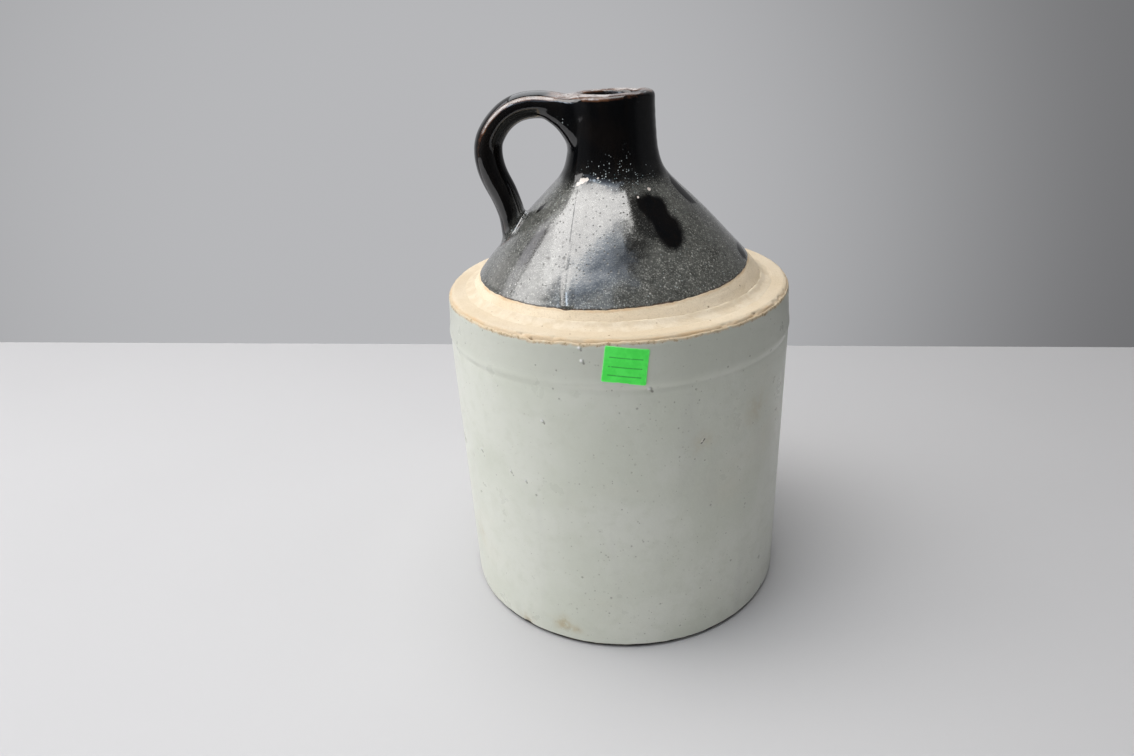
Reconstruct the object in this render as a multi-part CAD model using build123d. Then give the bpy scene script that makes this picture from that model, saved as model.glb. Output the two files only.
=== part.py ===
from build123d import *
import math
import os

# Stoneware shoulder jug, millimetres, +Z up.  Origin: centre of the base, on
# the surface the jug stands on.  The handle points along -X and the paper
# label faces -Y.

# ---------------------------------------------------------------- dimensions
FLOOR_T = 9.0             # thickness of the base
FOOT_R = 85.0             # flat bearing radius of the base
FOOT_BEVEL_H = 1.3        # height of the bare bevel round the foot
WALL_R_LOW = 85.95        # clay wall radius just above the foot bevel
WALL_R_HIGH = 86.45       # clay wall radius under the turned line
BAND_R = 86.72            # clay radius of the turned step, where the upper band starts
BAND_Z0 = 144.5           # lower end of the turned step below the band
BAND_Z1 = 147.0           # upper end of that step
RIM_Z = 167.8             # flat bare ledge on top of the body
BAND_TAPER = [(86.2, 152.0), (85.72, 158.0), (85.38, 163.6)]   # the band leans in to the rim
RIM_ROUND = [(85.1, 165.6), (84.5, 166.95), (83.4, 167.65), (82.4, RIM_Z)]
INNER_R = 79.3            # inside radius of the body wall
SEAT_R = 74.6             # rabbet in the ledge that takes the shoulder's foot
SEAT_Z = 163.2            # floor of that rabbet
COLLAR_R = 66.5           # inner radius of the thickened rim

SLIP_T = 0.6              # luting slip in the seam
SLIP_BEAD = [(77.0, RIM_Z), (75.6, 168.25), (74.2, 168.8), (72.9, 169.65), (71.71, 170.6)]   # soft bead wiped over the seam

GLAZE_T = 0.45            # outer glaze coats
LINER_T = 0.40            # glaze inside the jug
DARK_EDGE_Z = 176.0       # lower edge of the dark glaze on the shoulder

BORE_R = 12.0             # finished mouth bore
BORE_Z0 = 225.0           # lower end of the straight bore
BORE_Z1 = 251.5           # upper end of the straight bore
LIP_Z = 256.9             # highest point of the lip

HANDLE_T = 13.2           # handle thickness, across the loop's plane edge
HANDLE_W = 16.6           # handle width, across the loop
HANDLE_PATH = [           # centre line in the XZ plane, from neck to shoulder
    (-15.0, 248.3), (-36.0, 252.7), (-53.3, 245.9),
    (-59.6, 232.5), (-56.9, 218.7), (-51.7, 205.0), (-49.6, 187.0),
]
HANDLE_START = (-1.0, 0.42)   # direction of the centre line at the neck

HOLE_AT, HOLE_R = (-44.5, 226.4), 23.9   # finger hole's edge under the upper joint (x, z)
WEB_ANGLES = (2.0, 58.0)  # part of that circle which the web follows, degrees
WEB_TOP_Z = 254.2
WEB_FLARE = [(-36.0, 5.9), (-33.0, 7.2), (-26.6, 9.7), (-20.0, 12.4), (-12.0, 15.2)]   # half widths (x, y)

PAD_AT = (-50.4, 195.0)   # where the handle lands on the shoulder (x, z)
PAD_R0, PAD_R1, PAD_H = 11.2, 8.0, 4.4

LABEL_W, LABEL_H, LABEL_T = 19.05, 15.9, 0.15
LABEL_AZ = 1.95           # degrees round from the front, towards +X
LABEL_Z = 156.0
LABEL_TILT = -7.9         # degrees, clockwise as seen from the front

# outer surface of the glazed shoulder and neck, as (radius, height)
CONE = [
    (74.0, 167.6), (69.95, 172.9), (67.45, DARK_EDGE_Z), (64.3, 179.8),
    (56.45, 188.3), (48.5, 196.9), (40.2, 205.4), (33.0, 212.3),
    (28.0, 217.3), (24.4, 222.0), (22.55, 226.8), (21.6, 231.2),
    (21.05, 237.0), (20.6, 244.0), (20.4, 250.6),
]
LIP_OUT = [(20.4, 250.6), (20.42, 253.8), (20.2, 254.95), (19.5, 255.85), (18.2, 256.5),
           (16.4, LIP_Z), (15.2, 256.8), (14.0, 256.1), (13.0, 254.6), (12.35, 252.8),
           (BORE_R, BORE_Z1)]
LIP_CREST = 5             # index of the highest of those points


def offset_in(points, t):
    """Move an open (r, z) line by t to its left-hand side."""
    out = []
    for i, (r, z) in enumerate(points):
        a = points[max(i - 1, 0)]
        b = points[min(i + 1, len(points) - 1)]
        dr, dz = b[0] - a[0], b[1] - a[1]
        n = math.hypot(dr, dz)
        out.append((r - dz / n * t, z + dr / n * t))
    return out


def lathe(points):
    """Solid of revolution about Z from a closed outline of (r, z) points."""
    edge = Polyline(*[(r, 0, z) for r, z in points], close=True)
    return revolve(make_face(edge), Axis.Z)


def lathe_edges(*edges):
    return revolve(make_face(Wire.combine(edges)[0]), Axis.Z)


def p3(points):
    return [(r, 0, z) for r, z in points]


# ---------------------------------------------------------------- clay body
inner_body = [(0, FLOOR_T), (72.0, FLOOR_T), (77.4, 11.4), (INNER_R, 16.0),
              (INNER_R, 145.0), (COLLAR_R, 159.4), (COLLAR_R, SEAT_Z)]
outer_body = [(FOOT_R, 0), (WALL_R_LOW, FOOT_BEVEL_H), (WALL_R_HIGH, BAND_Z0),
              (BAND_R, BAND_Z1)] + BAND_TAPER + RIM_ROUND
crock_body = lathe([(0, 0)] + outer_body
                   + [(SEAT_R, RIM_Z), (SEAT_R, SEAT_Z)]
                   + inner_body[::-1])

# ---------------------------------------------------------------- luting slip
FOOT_R_OUT = SEAT_R - SLIP_T
seam_slip = lathe([(COLLAR_R, SEAT_Z), (SEAT_R, SEAT_Z), (SEAT_R, RIM_Z)]
                  + SLIP_BEAD
                  + [CONE[0], (FOOT_R_OUT, SEAT_Z + SLIP_T), (COLLAR_R, SEAT_Z + SLIP_T)])

# ---------------------------------------------------------------- shoulder
cone_line = Spline(*p3(CONE[2:]))                       # glazed surface
under = offset_in(CONE[2:], GLAZE_T)                    # clay under the glaze
under[0] = (CONE[2][0] - 0.33, CONE[2][1] - 0.27)
under_line = Spline(*p3(under))
lip_clay = [under[-1], (19.96, 253.6), (19.78, 254.6), (19.2, 255.4), (18.05, 256.03),
            (16.4, 256.42), (15.35, 256.3), (14.35, 255.75), (13.42, 254.4), (12.8, 252.7),
            (BORE_R + LINER_T, BORE_Z1)]
inner_top = [(BORE_R + LINER_T, BORE_Z1), (BORE_R + LINER_T, BORE_Z0),
             (14.6, 220.6), (20.6, 213.9), (27.7, 206.9), (34.9, 199.9),
             (43.3, 191.6), (51.1, 183.0), (58.9, 174.6),
             (64.6, 167.6), (COLLAR_R, SEAT_Z + SLIP_T)]

shoulder_and_neck = lathe_edges(
    Polyline(*p3([(COLLAR_R, SEAT_Z + SLIP_T), (FOOT_R_OUT, SEAT_Z + SLIP_T),
                  CONE[0], CONE[1], under[0]])),
    under_line,
    Polyline(*p3(lip_clay)),
    Polyline(*p3(inner_top)),
)

# ---------------------------------------------------------------- glaze coats
shoulder_glaze = lathe_edges(
    Polyline(*p3([under[0], CONE[2]])),
    cone_line,
    Polyline(*p3(LIP_OUT)),
    Polyline(*p3([LIP_OUT[-1], lip_clay[-1]])),
    Polyline(*p3(lip_clay)),
    under_line,
)

glaze_in = outer_body[1:9]                              # stops on the rim's rounding
band_out = [(r + GLAZE_T, z) for r, z in [(WALL_R_HIGH, BAND_Z0), (BAND_R, BAND_Z1)] + BAND_TAPER]
band_out.append((RIM_ROUND[0][0] + 0.43, RIM_ROUND[0][1] + 0.15))
glaze_out = ([(WALL_R_LOW + 0.38, FOOT_BEVEL_H + 0.5)] + band_out
             + [(RIM_ROUND[1][0] + 0.28, RIM_ROUND[1][1] + 0.13)])
body_glaze = lathe(glaze_in + glaze_out[::-1])

liner_out = inner_body[:-1] + [(COLLAR_R, SEAT_Z + SLIP_T)] + inner_top[-2::-1]
liner_in = offset_in(liner_out, LINER_T)
liner_in[0] = (0, FLOOR_T + LINER_T)
liner_in[-2] = (BORE_R, BORE_Z0)
liner_in[-1] = (BORE_R, BORE_Z1)
inner_glaze = lathe(liner_out + liner_in[::-1])

# ---------------------------------------------------------------- handle
# everything inside the glazed outside of the shoulder, used to trim the ends
shoulder_fill = lathe_edges(
    Polyline(*p3([(0, 160.0), (74.0, 160.0), CONE[0], CONE[1], CONE[2]])),
    cone_line,
    Polyline(*p3(LIP_OUT[:LIP_CREST + 1] + [(0, LIP_Z), (0, 160.0)])),
)

path = []
at = HANDLE_PATH[0]
tangent = Vector(HANDLE_START[0], 0, HANDLE_START[1])
for nxt in HANDLE_PATH[1:]:
    arc = TangentArc((at[0], 0, at[1]), (nxt[0], 0, nxt[1]), tangent=tangent)
    path.append(arc)
    tangent = arc % 1
    at = nxt
handle_line = Wire(path)
section = Plane(origin=handle_line @ 0, x_dir=(0, 1, 0), z_dir=handle_line % 0) \
    * Ellipse(HANDLE_W / 2, HANDLE_T / 2)
handle_bar = sweep(section, path=handle_line)


def largest(shape):
    return max(shape.solids(), key=lambda s: s.volume)


handle = largest(handle_bar - shoulder_fill)

# clay worked in under and beside the handle's upper joint, as a web that
# follows the finger hole's circle below and flares in plan to meet the neck


def on_hole(angle):
    a = math.radians(angle)
    return (HOLE_AT[0] + HOLE_R * math.cos(a), 0, HOLE_AT[1] + HOLE_R * math.sin(a))


web_face = make_face(Wire.combine([
    ThreePointArc(on_hole(WEB_ANGLES[0]), on_hole(sum(WEB_ANGLES) / 2), on_hole(WEB_ANGLES[1])),
    Polyline(on_hole(WEB_ANGLES[1]), (on_hole(WEB_ANGLES[1])[0], 0, 250.0), (-26.6, 0, WEB_TOP_Z),
             (-12.0, 0, WEB_TOP_Z), (-12.0, 0, on_hole(WEB_ANGLES[0])[2]), on_hole(WEB_ANGLES[0])),
])[0])
web_bar = extrude(web_face, amount=18.0, dir=(0, 1, 0), both=True)
plan = WEB_FLARE + [(x, -y) for x, y in WEB_FLARE[::-1]]
flare = Pos(0, 0, 220.0) * extrude(make_face(Polyline(*plan, close=True)), amount=40.0, dir=(0, 0, 1))
handle_neck_wad = largest((web_bar & flare) - shoulder_fill - handle_bar)

# clay pad worked round the handle's lower end
pad_n = Vector(-0.716, 0, 0.698)
pad_plane = Plane(origin=Vector(PAD_AT[0], 0, PAD_AT[1]) - pad_n * 3.0,
                  z_dir=pad_n)
slope = (PAD_R0 - PAD_R1) / PAD_H
pad_bar = pad_plane * Cone(PAD_R0 + 3.0 * slope, PAD_R1, PAD_H + 3.0,
                           align=(Align.CENTER, Align.CENTER, Align.MIN))
handle_shoulder_wad = largest(pad_bar - shoulder_fill - handle_bar)

# ---------------------------------------------------------------- paper label
label_in = band_out
label_out = [(r + LABEL_T, z) for r, z in label_in]
label_shell = lathe(label_in + label_out[::-1])
label_box = (Rot(0, 0, LABEL_AZ) * Pos(0, -BAND_R, LABEL_Z)
             * Rot(0, -LABEL_TILT, 0) * Box(LABEL_W, 12.0, LABEL_H))
price_label = largest(label_shell & label_box)

# ---------------------------------------------------------------- output
NODES = {
    "crock_body": crock_body,
    "seam_slip": seam_slip,
    "shoulder_and_neck": shoulder_and_neck,
    "body_glaze": body_glaze,
    "shoulder_glaze": shoulder_glaze,
    "inner_glaze": inner_glaze,
    "handle": handle,
    "handle_neck_wad": handle_neck_wad,
    "handle_shoulder_wad": handle_shoulder_wad,
    "price_label": price_label,
}

os.makedirs("parts", exist_ok=True)
for name, shape in NODES.items():
    solids = shape.solids()
    print(name, "solids", len(solids), "volume %.1f" % sum(s.volume for s in solids),
          "valid", all(s.is_valid for s in solids))
    export_step(solids[0] if len(solids) == 1 else Compound(children=solids),
                f"parts/{name}.step")
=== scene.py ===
import math

import bpy
import numpy as np
from mathutils import Matrix


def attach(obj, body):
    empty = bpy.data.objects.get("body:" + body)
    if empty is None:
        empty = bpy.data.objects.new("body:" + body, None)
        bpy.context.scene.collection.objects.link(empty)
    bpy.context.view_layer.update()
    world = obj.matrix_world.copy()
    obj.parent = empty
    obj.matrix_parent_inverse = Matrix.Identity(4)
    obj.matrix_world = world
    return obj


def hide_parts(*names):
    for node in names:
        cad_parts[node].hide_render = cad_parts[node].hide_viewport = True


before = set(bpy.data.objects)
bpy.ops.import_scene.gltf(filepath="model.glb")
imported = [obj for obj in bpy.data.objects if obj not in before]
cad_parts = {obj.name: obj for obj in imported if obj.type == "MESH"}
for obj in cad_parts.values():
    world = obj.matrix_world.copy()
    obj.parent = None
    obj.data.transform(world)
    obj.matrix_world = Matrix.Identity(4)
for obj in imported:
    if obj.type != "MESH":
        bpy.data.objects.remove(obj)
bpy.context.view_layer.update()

# Stoneware shoulder jug.  Lengths below are millimetres unless a line says
# metres; meshes are written in metres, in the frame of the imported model:
# +Z up, handle towards -X, front towards -Y.  "az" is the angle round the jug
# from the front, positive towards +X.
MM = 0.001

# ------------------------------------------------------------------ small maths
LATTICE = np.random.default_rng(5).random((40, 40, 40)) * 2 - 1


def noise(p, cell, seed=0):
    """Smooth lattice noise in -1..1 with lumps about `cell` mm across."""
    q = np.asarray(p, float) / cell + 100.0 + 7.31 * seed
    i = np.floor(q).astype(np.int64)
    f = q - i
    f = f * f * f * (f * (f * 6 - 15) + 10)
    lo, hi = i % 40, (i + 1) % 40
    out = 0.0
    for dx in (0, 1):
        wx = f[..., 0] if dx else 1 - f[..., 0]
        ix = (hi if dx else lo)[..., 0]
        for dy in (0, 1):
            wy = f[..., 1] if dy else 1 - f[..., 1]
            iy = (hi if dy else lo)[..., 1]
            for dz in (0, 1):
                wz = f[..., 2] if dz else 1 - f[..., 2]
                iz = (hi if dz else lo)[..., 2]
                out = out + wx * wy * wz * LATTICE[ix, iy, iz]
    return out


def step(a, b, x):
    t = np.clip((np.asarray(x, float) - a) / (b - a), 0, 1)
    return t * t * (3 - 2 * t)


def bell(x, width):
    return np.exp(-((np.asarray(x, float) / width) ** 2))


def arclen(line):
    return np.r_[0, np.cumsum(np.hypot(*np.diff(line, axis=0).T))]


def dense(points, gap=0.05, blur=0.2):
    """A polyline sampled every `gap`, its corners eased by `blur`."""
    p = np.array(points, float)
    s = arclen(p)
    t = np.linspace(0, s[-1], int(s[-1] / gap) + 1)
    q = np.c_[np.interp(t, s, p[:, 0]), np.interp(t, s, p[:, 1])]
    if blur <= 0:
        return q
    k = int(3 * blur / gap)
    w = np.exp(-0.5 * (np.arange(-k, k + 1) * gap / blur) ** 2)
    w /= w.sum()
    pad = np.r_[2 * q[0] - q[k:0:-1], q, 2 * q[-1] - q[-2:-k - 2:-1]]
    return np.c_[np.convolve(pad[:, 0], w, "valid"), np.convolve(pad[:, 1], w, "valid")]


def spline(points, gap=0.05):
    """Natural cubic through the points, sampled about every `gap`."""
    p = np.array(points, float)
    s = np.r_[0, np.cumsum(np.linalg.norm(np.diff(p, axis=0), axis=1))]
    h = np.diff(s)
    n = len(p)
    a = np.eye(n)
    b = np.zeros_like(p)
    for i in range(1, n - 1):
        a[i, i - 1:i + 2] = h[i - 1], 2 * (h[i - 1] + h[i]), h[i]
        b[i] = 6 * ((p[i + 1] - p[i]) / h[i] - (p[i] - p[i - 1]) / h[i - 1])
    m = np.linalg.solve(a, b)
    t = np.linspace(0, s[-1], int(s[-1] / gap) + 1)
    k = np.clip(np.searchsorted(s, t, side="right") - 1, 0, n - 2)
    u = ((s[k + 1] - t) / h[k])[:, None]
    v = ((t - s[k]) / h[k])[:, None]
    c = (h[k] ** 2 / 6)[:, None]
    return u * p[k] + v * p[k + 1] + ((u ** 3 - u) * m[k] + (v ** 3 - v) * m[k + 1]) * c


def normals(line):
    """Outward side of a line that climbs the outside of the jug."""
    t = np.gradient(line, axis=0)
    t /= np.hypot(t[:, 0], t[:, 1])[:, None]
    return np.c_[t[:, 1], -t[:, 0]]


def rows_along(line, gap):
    """Arc positions along a line, spaced by gap(r, z)."""
    s = arclen(line)
    g = gap(line[:, 0], line[:, 1])
    c = np.r_[0, np.cumsum(np.diff(s) * 2 / (g[1:] + g[:-1]))]
    return np.interp(np.linspace(0, c[-1], int(math.ceil(c[-1])) + 1), c, s)


def at(line, s):
    """Points of a line at arc positions s (any shape)."""
    t = arclen(line)
    return np.interp(s, t, line[:, 0]), np.interp(s, t, line[:, 1])


def columns(n, gain=1.0, front=80.0):
    """n angles round the jug, closer together over the front."""
    a = np.linspace(-180, 180, 7201)
    w = 1 + gain * (1 - step(front - 15, front + 15, np.abs(a)))
    c = np.r_[0, np.cumsum((w[1:] + w[:-1]) / 2)]
    return np.radians(np.interp(np.arange(n) / n, c / c[-1], a))


def place(r, z, az):
    return np.stack([r * np.sin(az), -r * np.cos(az), z + 0 * az], axis=-1)


def loop_noise(az, cell_deg, seed):
    """Noise that closes on itself round the jug."""
    r = 57.29578 / cell_deg
    p = np.stack([r * np.sin(az), r * np.cos(az), 0 * az + 3.7 * seed], axis=-1)
    return noise(p, 1.0, seed)


def side_of(points, az, z, radius):
    """Signed distance in mm (negative inside) from a patch outlined in (az degrees, z)."""
    p = np.array(points, float)
    x = np.degrees(az) * radius * math.pi / 180
    k = radius * math.pi / 180
    best = np.full(np.shape(x), 1e9)
    inside = np.zeros(np.shape(x), bool)
    for i in range(len(p)):
        ax, ay = p[i][0] * k, p[i][1] * 1.38
        bx, by = p[i - 1][0] * k, p[i - 1][1] * 1.38
        ex, ey = bx - ax, by - ay
        px, py = x - ax, z * 1.38 - ay
        t = np.clip((px * ex + py * ey) / (ex * ex + ey * ey + 1e-12), 0, 1)
        best = np.minimum(best, np.hypot(px - t * ex, py - t * ey))
        cross = ((ay > z * 1.38) != (by > z * 1.38)) & (
            x < ex * (z * 1.38 - ay) / (ey if abs(ey) > 1e-9 else 1e-9) + ax)
        inside ^= cross
    return np.where(inside, -best, best)


# ------------------------------------------------------------------ mesh helpers
def make(name, verts, faces, uv=None, masks=None):
    me = bpy.data.meshes.new(name)
    me.from_pydata((np.asarray(verts) * MM).tolist(), [], faces)
    if uv is not None:
        layer = me.uv_layers.new(name="OFBake")
        layer.data.foreach_set("uv", np.asarray(uv, np.float32).ravel())
    for key, value in (masks or {}).items():
        a = me.attributes.new(key, "FLOAT", "POINT")
        a.data.foreach_set("value", np.asarray(value, np.float32).ravel())
    me.validate()
    me.polygons.foreach_set("use_smooth", np.ones(len(me.polygons), bool))
    me.update()
    return me


def ring_faces(nr, nc, wrap):
    r = np.arange(nr if wrap else nr - 1)[:, None]
    c = np.arange(nc)[None, :]
    r2, c2 = (r + 1) % nr, (c + 1) % nc
    quads = np.stack([r * nc + c, r * nc + c2, r2 * nc + c2, r2 * nc + c], -1)
    return quads.reshape(-1, 4)


def ring_uv(v, nr, nc, az, wrap):
    """Cylindrical unwrap, seam at the back; v holds each row's height plus the closing one."""
    u = np.r_[az, math.pi] / (2 * math.pi) + 0.5
    r = np.arange(nr if wrap else nr - 1)[:, None]
    c = np.arange(nc)[None, :]
    u0, u1 = u[c] + 0 * r, u[c + 1] + 0 * r
    v0, v1 = v[r] + 0 * c, v[r + 1] + 0 * c
    out = np.stack([np.stack([u0, v0], -1), np.stack([u1, v0], -1),
                    np.stack([u1, v1], -1), np.stack([u0, v1], -1)], 2)
    return out.reshape(-1, 2)


def shell(name, rows, az, share, masks=None):
    """Closed ring from rows of points (rows x columns x 3); share weighs each row in the unwrap."""
    nr, nc = rows.shape[:2]
    v = np.r_[0, np.cumsum(share)]
    v = 0.002 + 0.996 * v / v[-1]
    return make(name, rows.reshape(-1, 3), ring_faces(nr, nc, True).tolist(),
                ring_uv(v, nr, nc, az, True), masks)


def lathe(name, rows, az, share, low, high, masks=None):
    """Closed form whose first and last rows close on points of the axis."""
    nr, nc = rows.shape[:2]
    v = np.r_[0, np.cumsum(share)]
    v = 0.02 + 0.96 * v / v[-1]
    verts = np.concatenate([rows.reshape(-1, 3), [(0, 0, low), (0, 0, high)]])
    faces = ring_faces(nr, nc, False).tolist()
    uv = [ring_uv(v, nr, nc, az, False)]
    c = np.arange(nc)
    c2 = (c + 1) % nc
    u = np.r_[az, math.pi] / (2 * math.pi) + 0.5
    a, b = nr * nc, nr * nc + 1
    faces += np.stack([0 * c + a, c2, c], -1).tolist()
    uv.append(np.stack([np.stack([(u[:-1] + u[1:]) / 2, 0 * u[1:]], -1),
                        np.stack([u[1:], 0 * u[1:] + v[0]], -1),
                        np.stack([u[:-1], 0 * u[1:] + v[0]], -1)], 1).reshape(-1, 2))
    t = (nr - 1) * nc
    faces += np.stack([t + c, t + c2, 0 * c + b], -1).tolist()
    uv.append(np.stack([np.stack([u[:-1], 0 * u[1:] + v[-1]], -1),
                        np.stack([u[1:], 0 * u[1:] + v[-1]], -1),
                        np.stack([(u[:-1] + u[1:]) / 2, 0 * u[1:] + 1], -1)], 1).reshape(-1, 2))
    if masks:
        masks = {k: np.r_[np.ravel(m), 0, 0] for k, m in masks.items()}
    return make(name, verts, faces, np.concatenate(uv), masks)


def add(name, mesh, material, slot, *nodes):
    ob = bpy.data.objects.new(name, mesh)
    bpy.context.scene.collection.objects.link(ob)
    mesh.materials.append(material)
    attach(ob, "root")
    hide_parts(*nodes)
    return ob


# ------------------------------------------------------------------ materials
class Paint:
    """A node material under construction; each method adds a node and gives its output."""

    def __init__(self, name):
        self.mat = bpy.data.materials.new(name)
        self.mat.use_nodes = True
        self.tree = self.mat.node_tree
        self.tree.nodes.clear()
        out = self.tree.nodes.new("ShaderNodeOutputMaterial")
        self.bsdf = self.tree.nodes.new("ShaderNodeBsdfPrincipled")
        self.tree.links.new(self.bsdf.outputs[0], out.inputs[0])
        self.pos = self.tree.nodes.new("ShaderNodeTexCoord").outputs["Object"]

    def put(self, socket, value):
        if isinstance(value, bpy.types.NodeSocket):
            self.tree.links.new(value, socket)
        elif value is not None:
            if hasattr(socket.default_value, "__len__") and not hasattr(value, "__len__"):
                value = (value,) * len(socket.default_value)
            if hasattr(value, "__len__") and len(value) == 3 and len(socket.default_value) == 4:
                value = (*value, 1.0)
            socket.default_value = value

    def set(self, **values):
        for key, value in values.items():
            self.put(self.bsdf.inputs[key.replace("_", " ")], value)

    def noise(self, scale, detail=4.0, rough=0.55, distort=0.0, vec=None):
        n = self.tree.nodes.new("ShaderNodeTexNoise")
        self.put(n.inputs["Vector"], vec or self.pos)
        self.put(n.inputs["Scale"], scale)
        self.put(n.inputs["Detail"], detail)
        self.put(n.inputs["Roughness"], rough)
        self.put(n.inputs["Distortion"], distort)
        return n.outputs["Fac"]

    def cells(self, scale, vec=None, rand=1.0):
        n = self.tree.nodes.new("ShaderNodeTexVoronoi")
        n.feature = "F1"
        self.put(n.inputs["Vector"], vec or self.pos)
        self.put(n.inputs["Scale"], scale)
        self.put(n.inputs["Randomness"], rand)
        s = self.tree.nodes.new("ShaderNodeSeparateColor")
        self.put(s.inputs[0], n.outputs["Color"])
        return n.outputs["Distance"], s.outputs[0], s.outputs[1], s.outputs[2]

    def stretch(self, scale, move=(0, 0, 0)):
        n = self.tree.nodes.new("ShaderNodeMapping")
        self.put(n.inputs["Vector"], self.pos)
        self.put(n.inputs["Scale"], scale)
        self.put(n.inputs["Location"], move)
        return n.outputs[0]

    def height(self):
        n = self.tree.nodes.new("ShaderNodeSeparateXYZ")
        self.put(n.inputs[0], self.pos)
        return n.outputs[2]

    def math(self, op, a, b=None, c=None, clamp=False):
        n = self.tree.nodes.new("ShaderNodeMath")
        n.operation = op
        n.use_clamp = clamp
        for i, v in enumerate((a, b, c)):
            if v is not None:
                self.put(n.inputs[i], v)
        return n.outputs[0]

    def mul(self, *values):
        out = values[0]
        for v in values[1:]:
            out = self.math("MULTIPLY", out, v)
        return out

    def plus(self, *values):
        out = values[0]
        for v in values[1:]:
            out = self.math("ADD", out, v)
        return out

    def both(self, *values):
        out = values[0]
        for v in values[1:]:
            out = self.math("MAXIMUM", out, v)
        return out

    def fit(self, x, a, b, c=0.0, d=1.0):
        n = self.tree.nodes.new("ShaderNodeMapRange")
        n.interpolation_type = "SMOOTHSTEP"
        for i, v in enumerate((x, a, b, c, d)):
            self.put(n.inputs[i], v)
        return n.outputs[0]

    def mix(self, fac, a, b):
        n = self.tree.nodes.new("ShaderNodeMix")
        n.data_type = "RGBA"
        self.put(n.inputs[0], fac)
        self.put(n.inputs[6], a)
        self.put(n.inputs[7], b)
        return n.outputs[2]

    def mask(self, name):
        n = self.tree.nodes.new("ShaderNodeAttribute")
        n.attribute_name = name
        return n.outputs["Fac"]

    def bump(self, height, strength, distance, under=None):
        n = self.tree.nodes.new("ShaderNodeBump")
        self.put(n.inputs["Height"], height)
        self.put(n.inputs["Strength"], strength)
        self.put(n.inputs["Distance"], distance)
        if under is not None:
            self.put(n.inputs["Normal"], under)
        return n.outputs[0]


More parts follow.
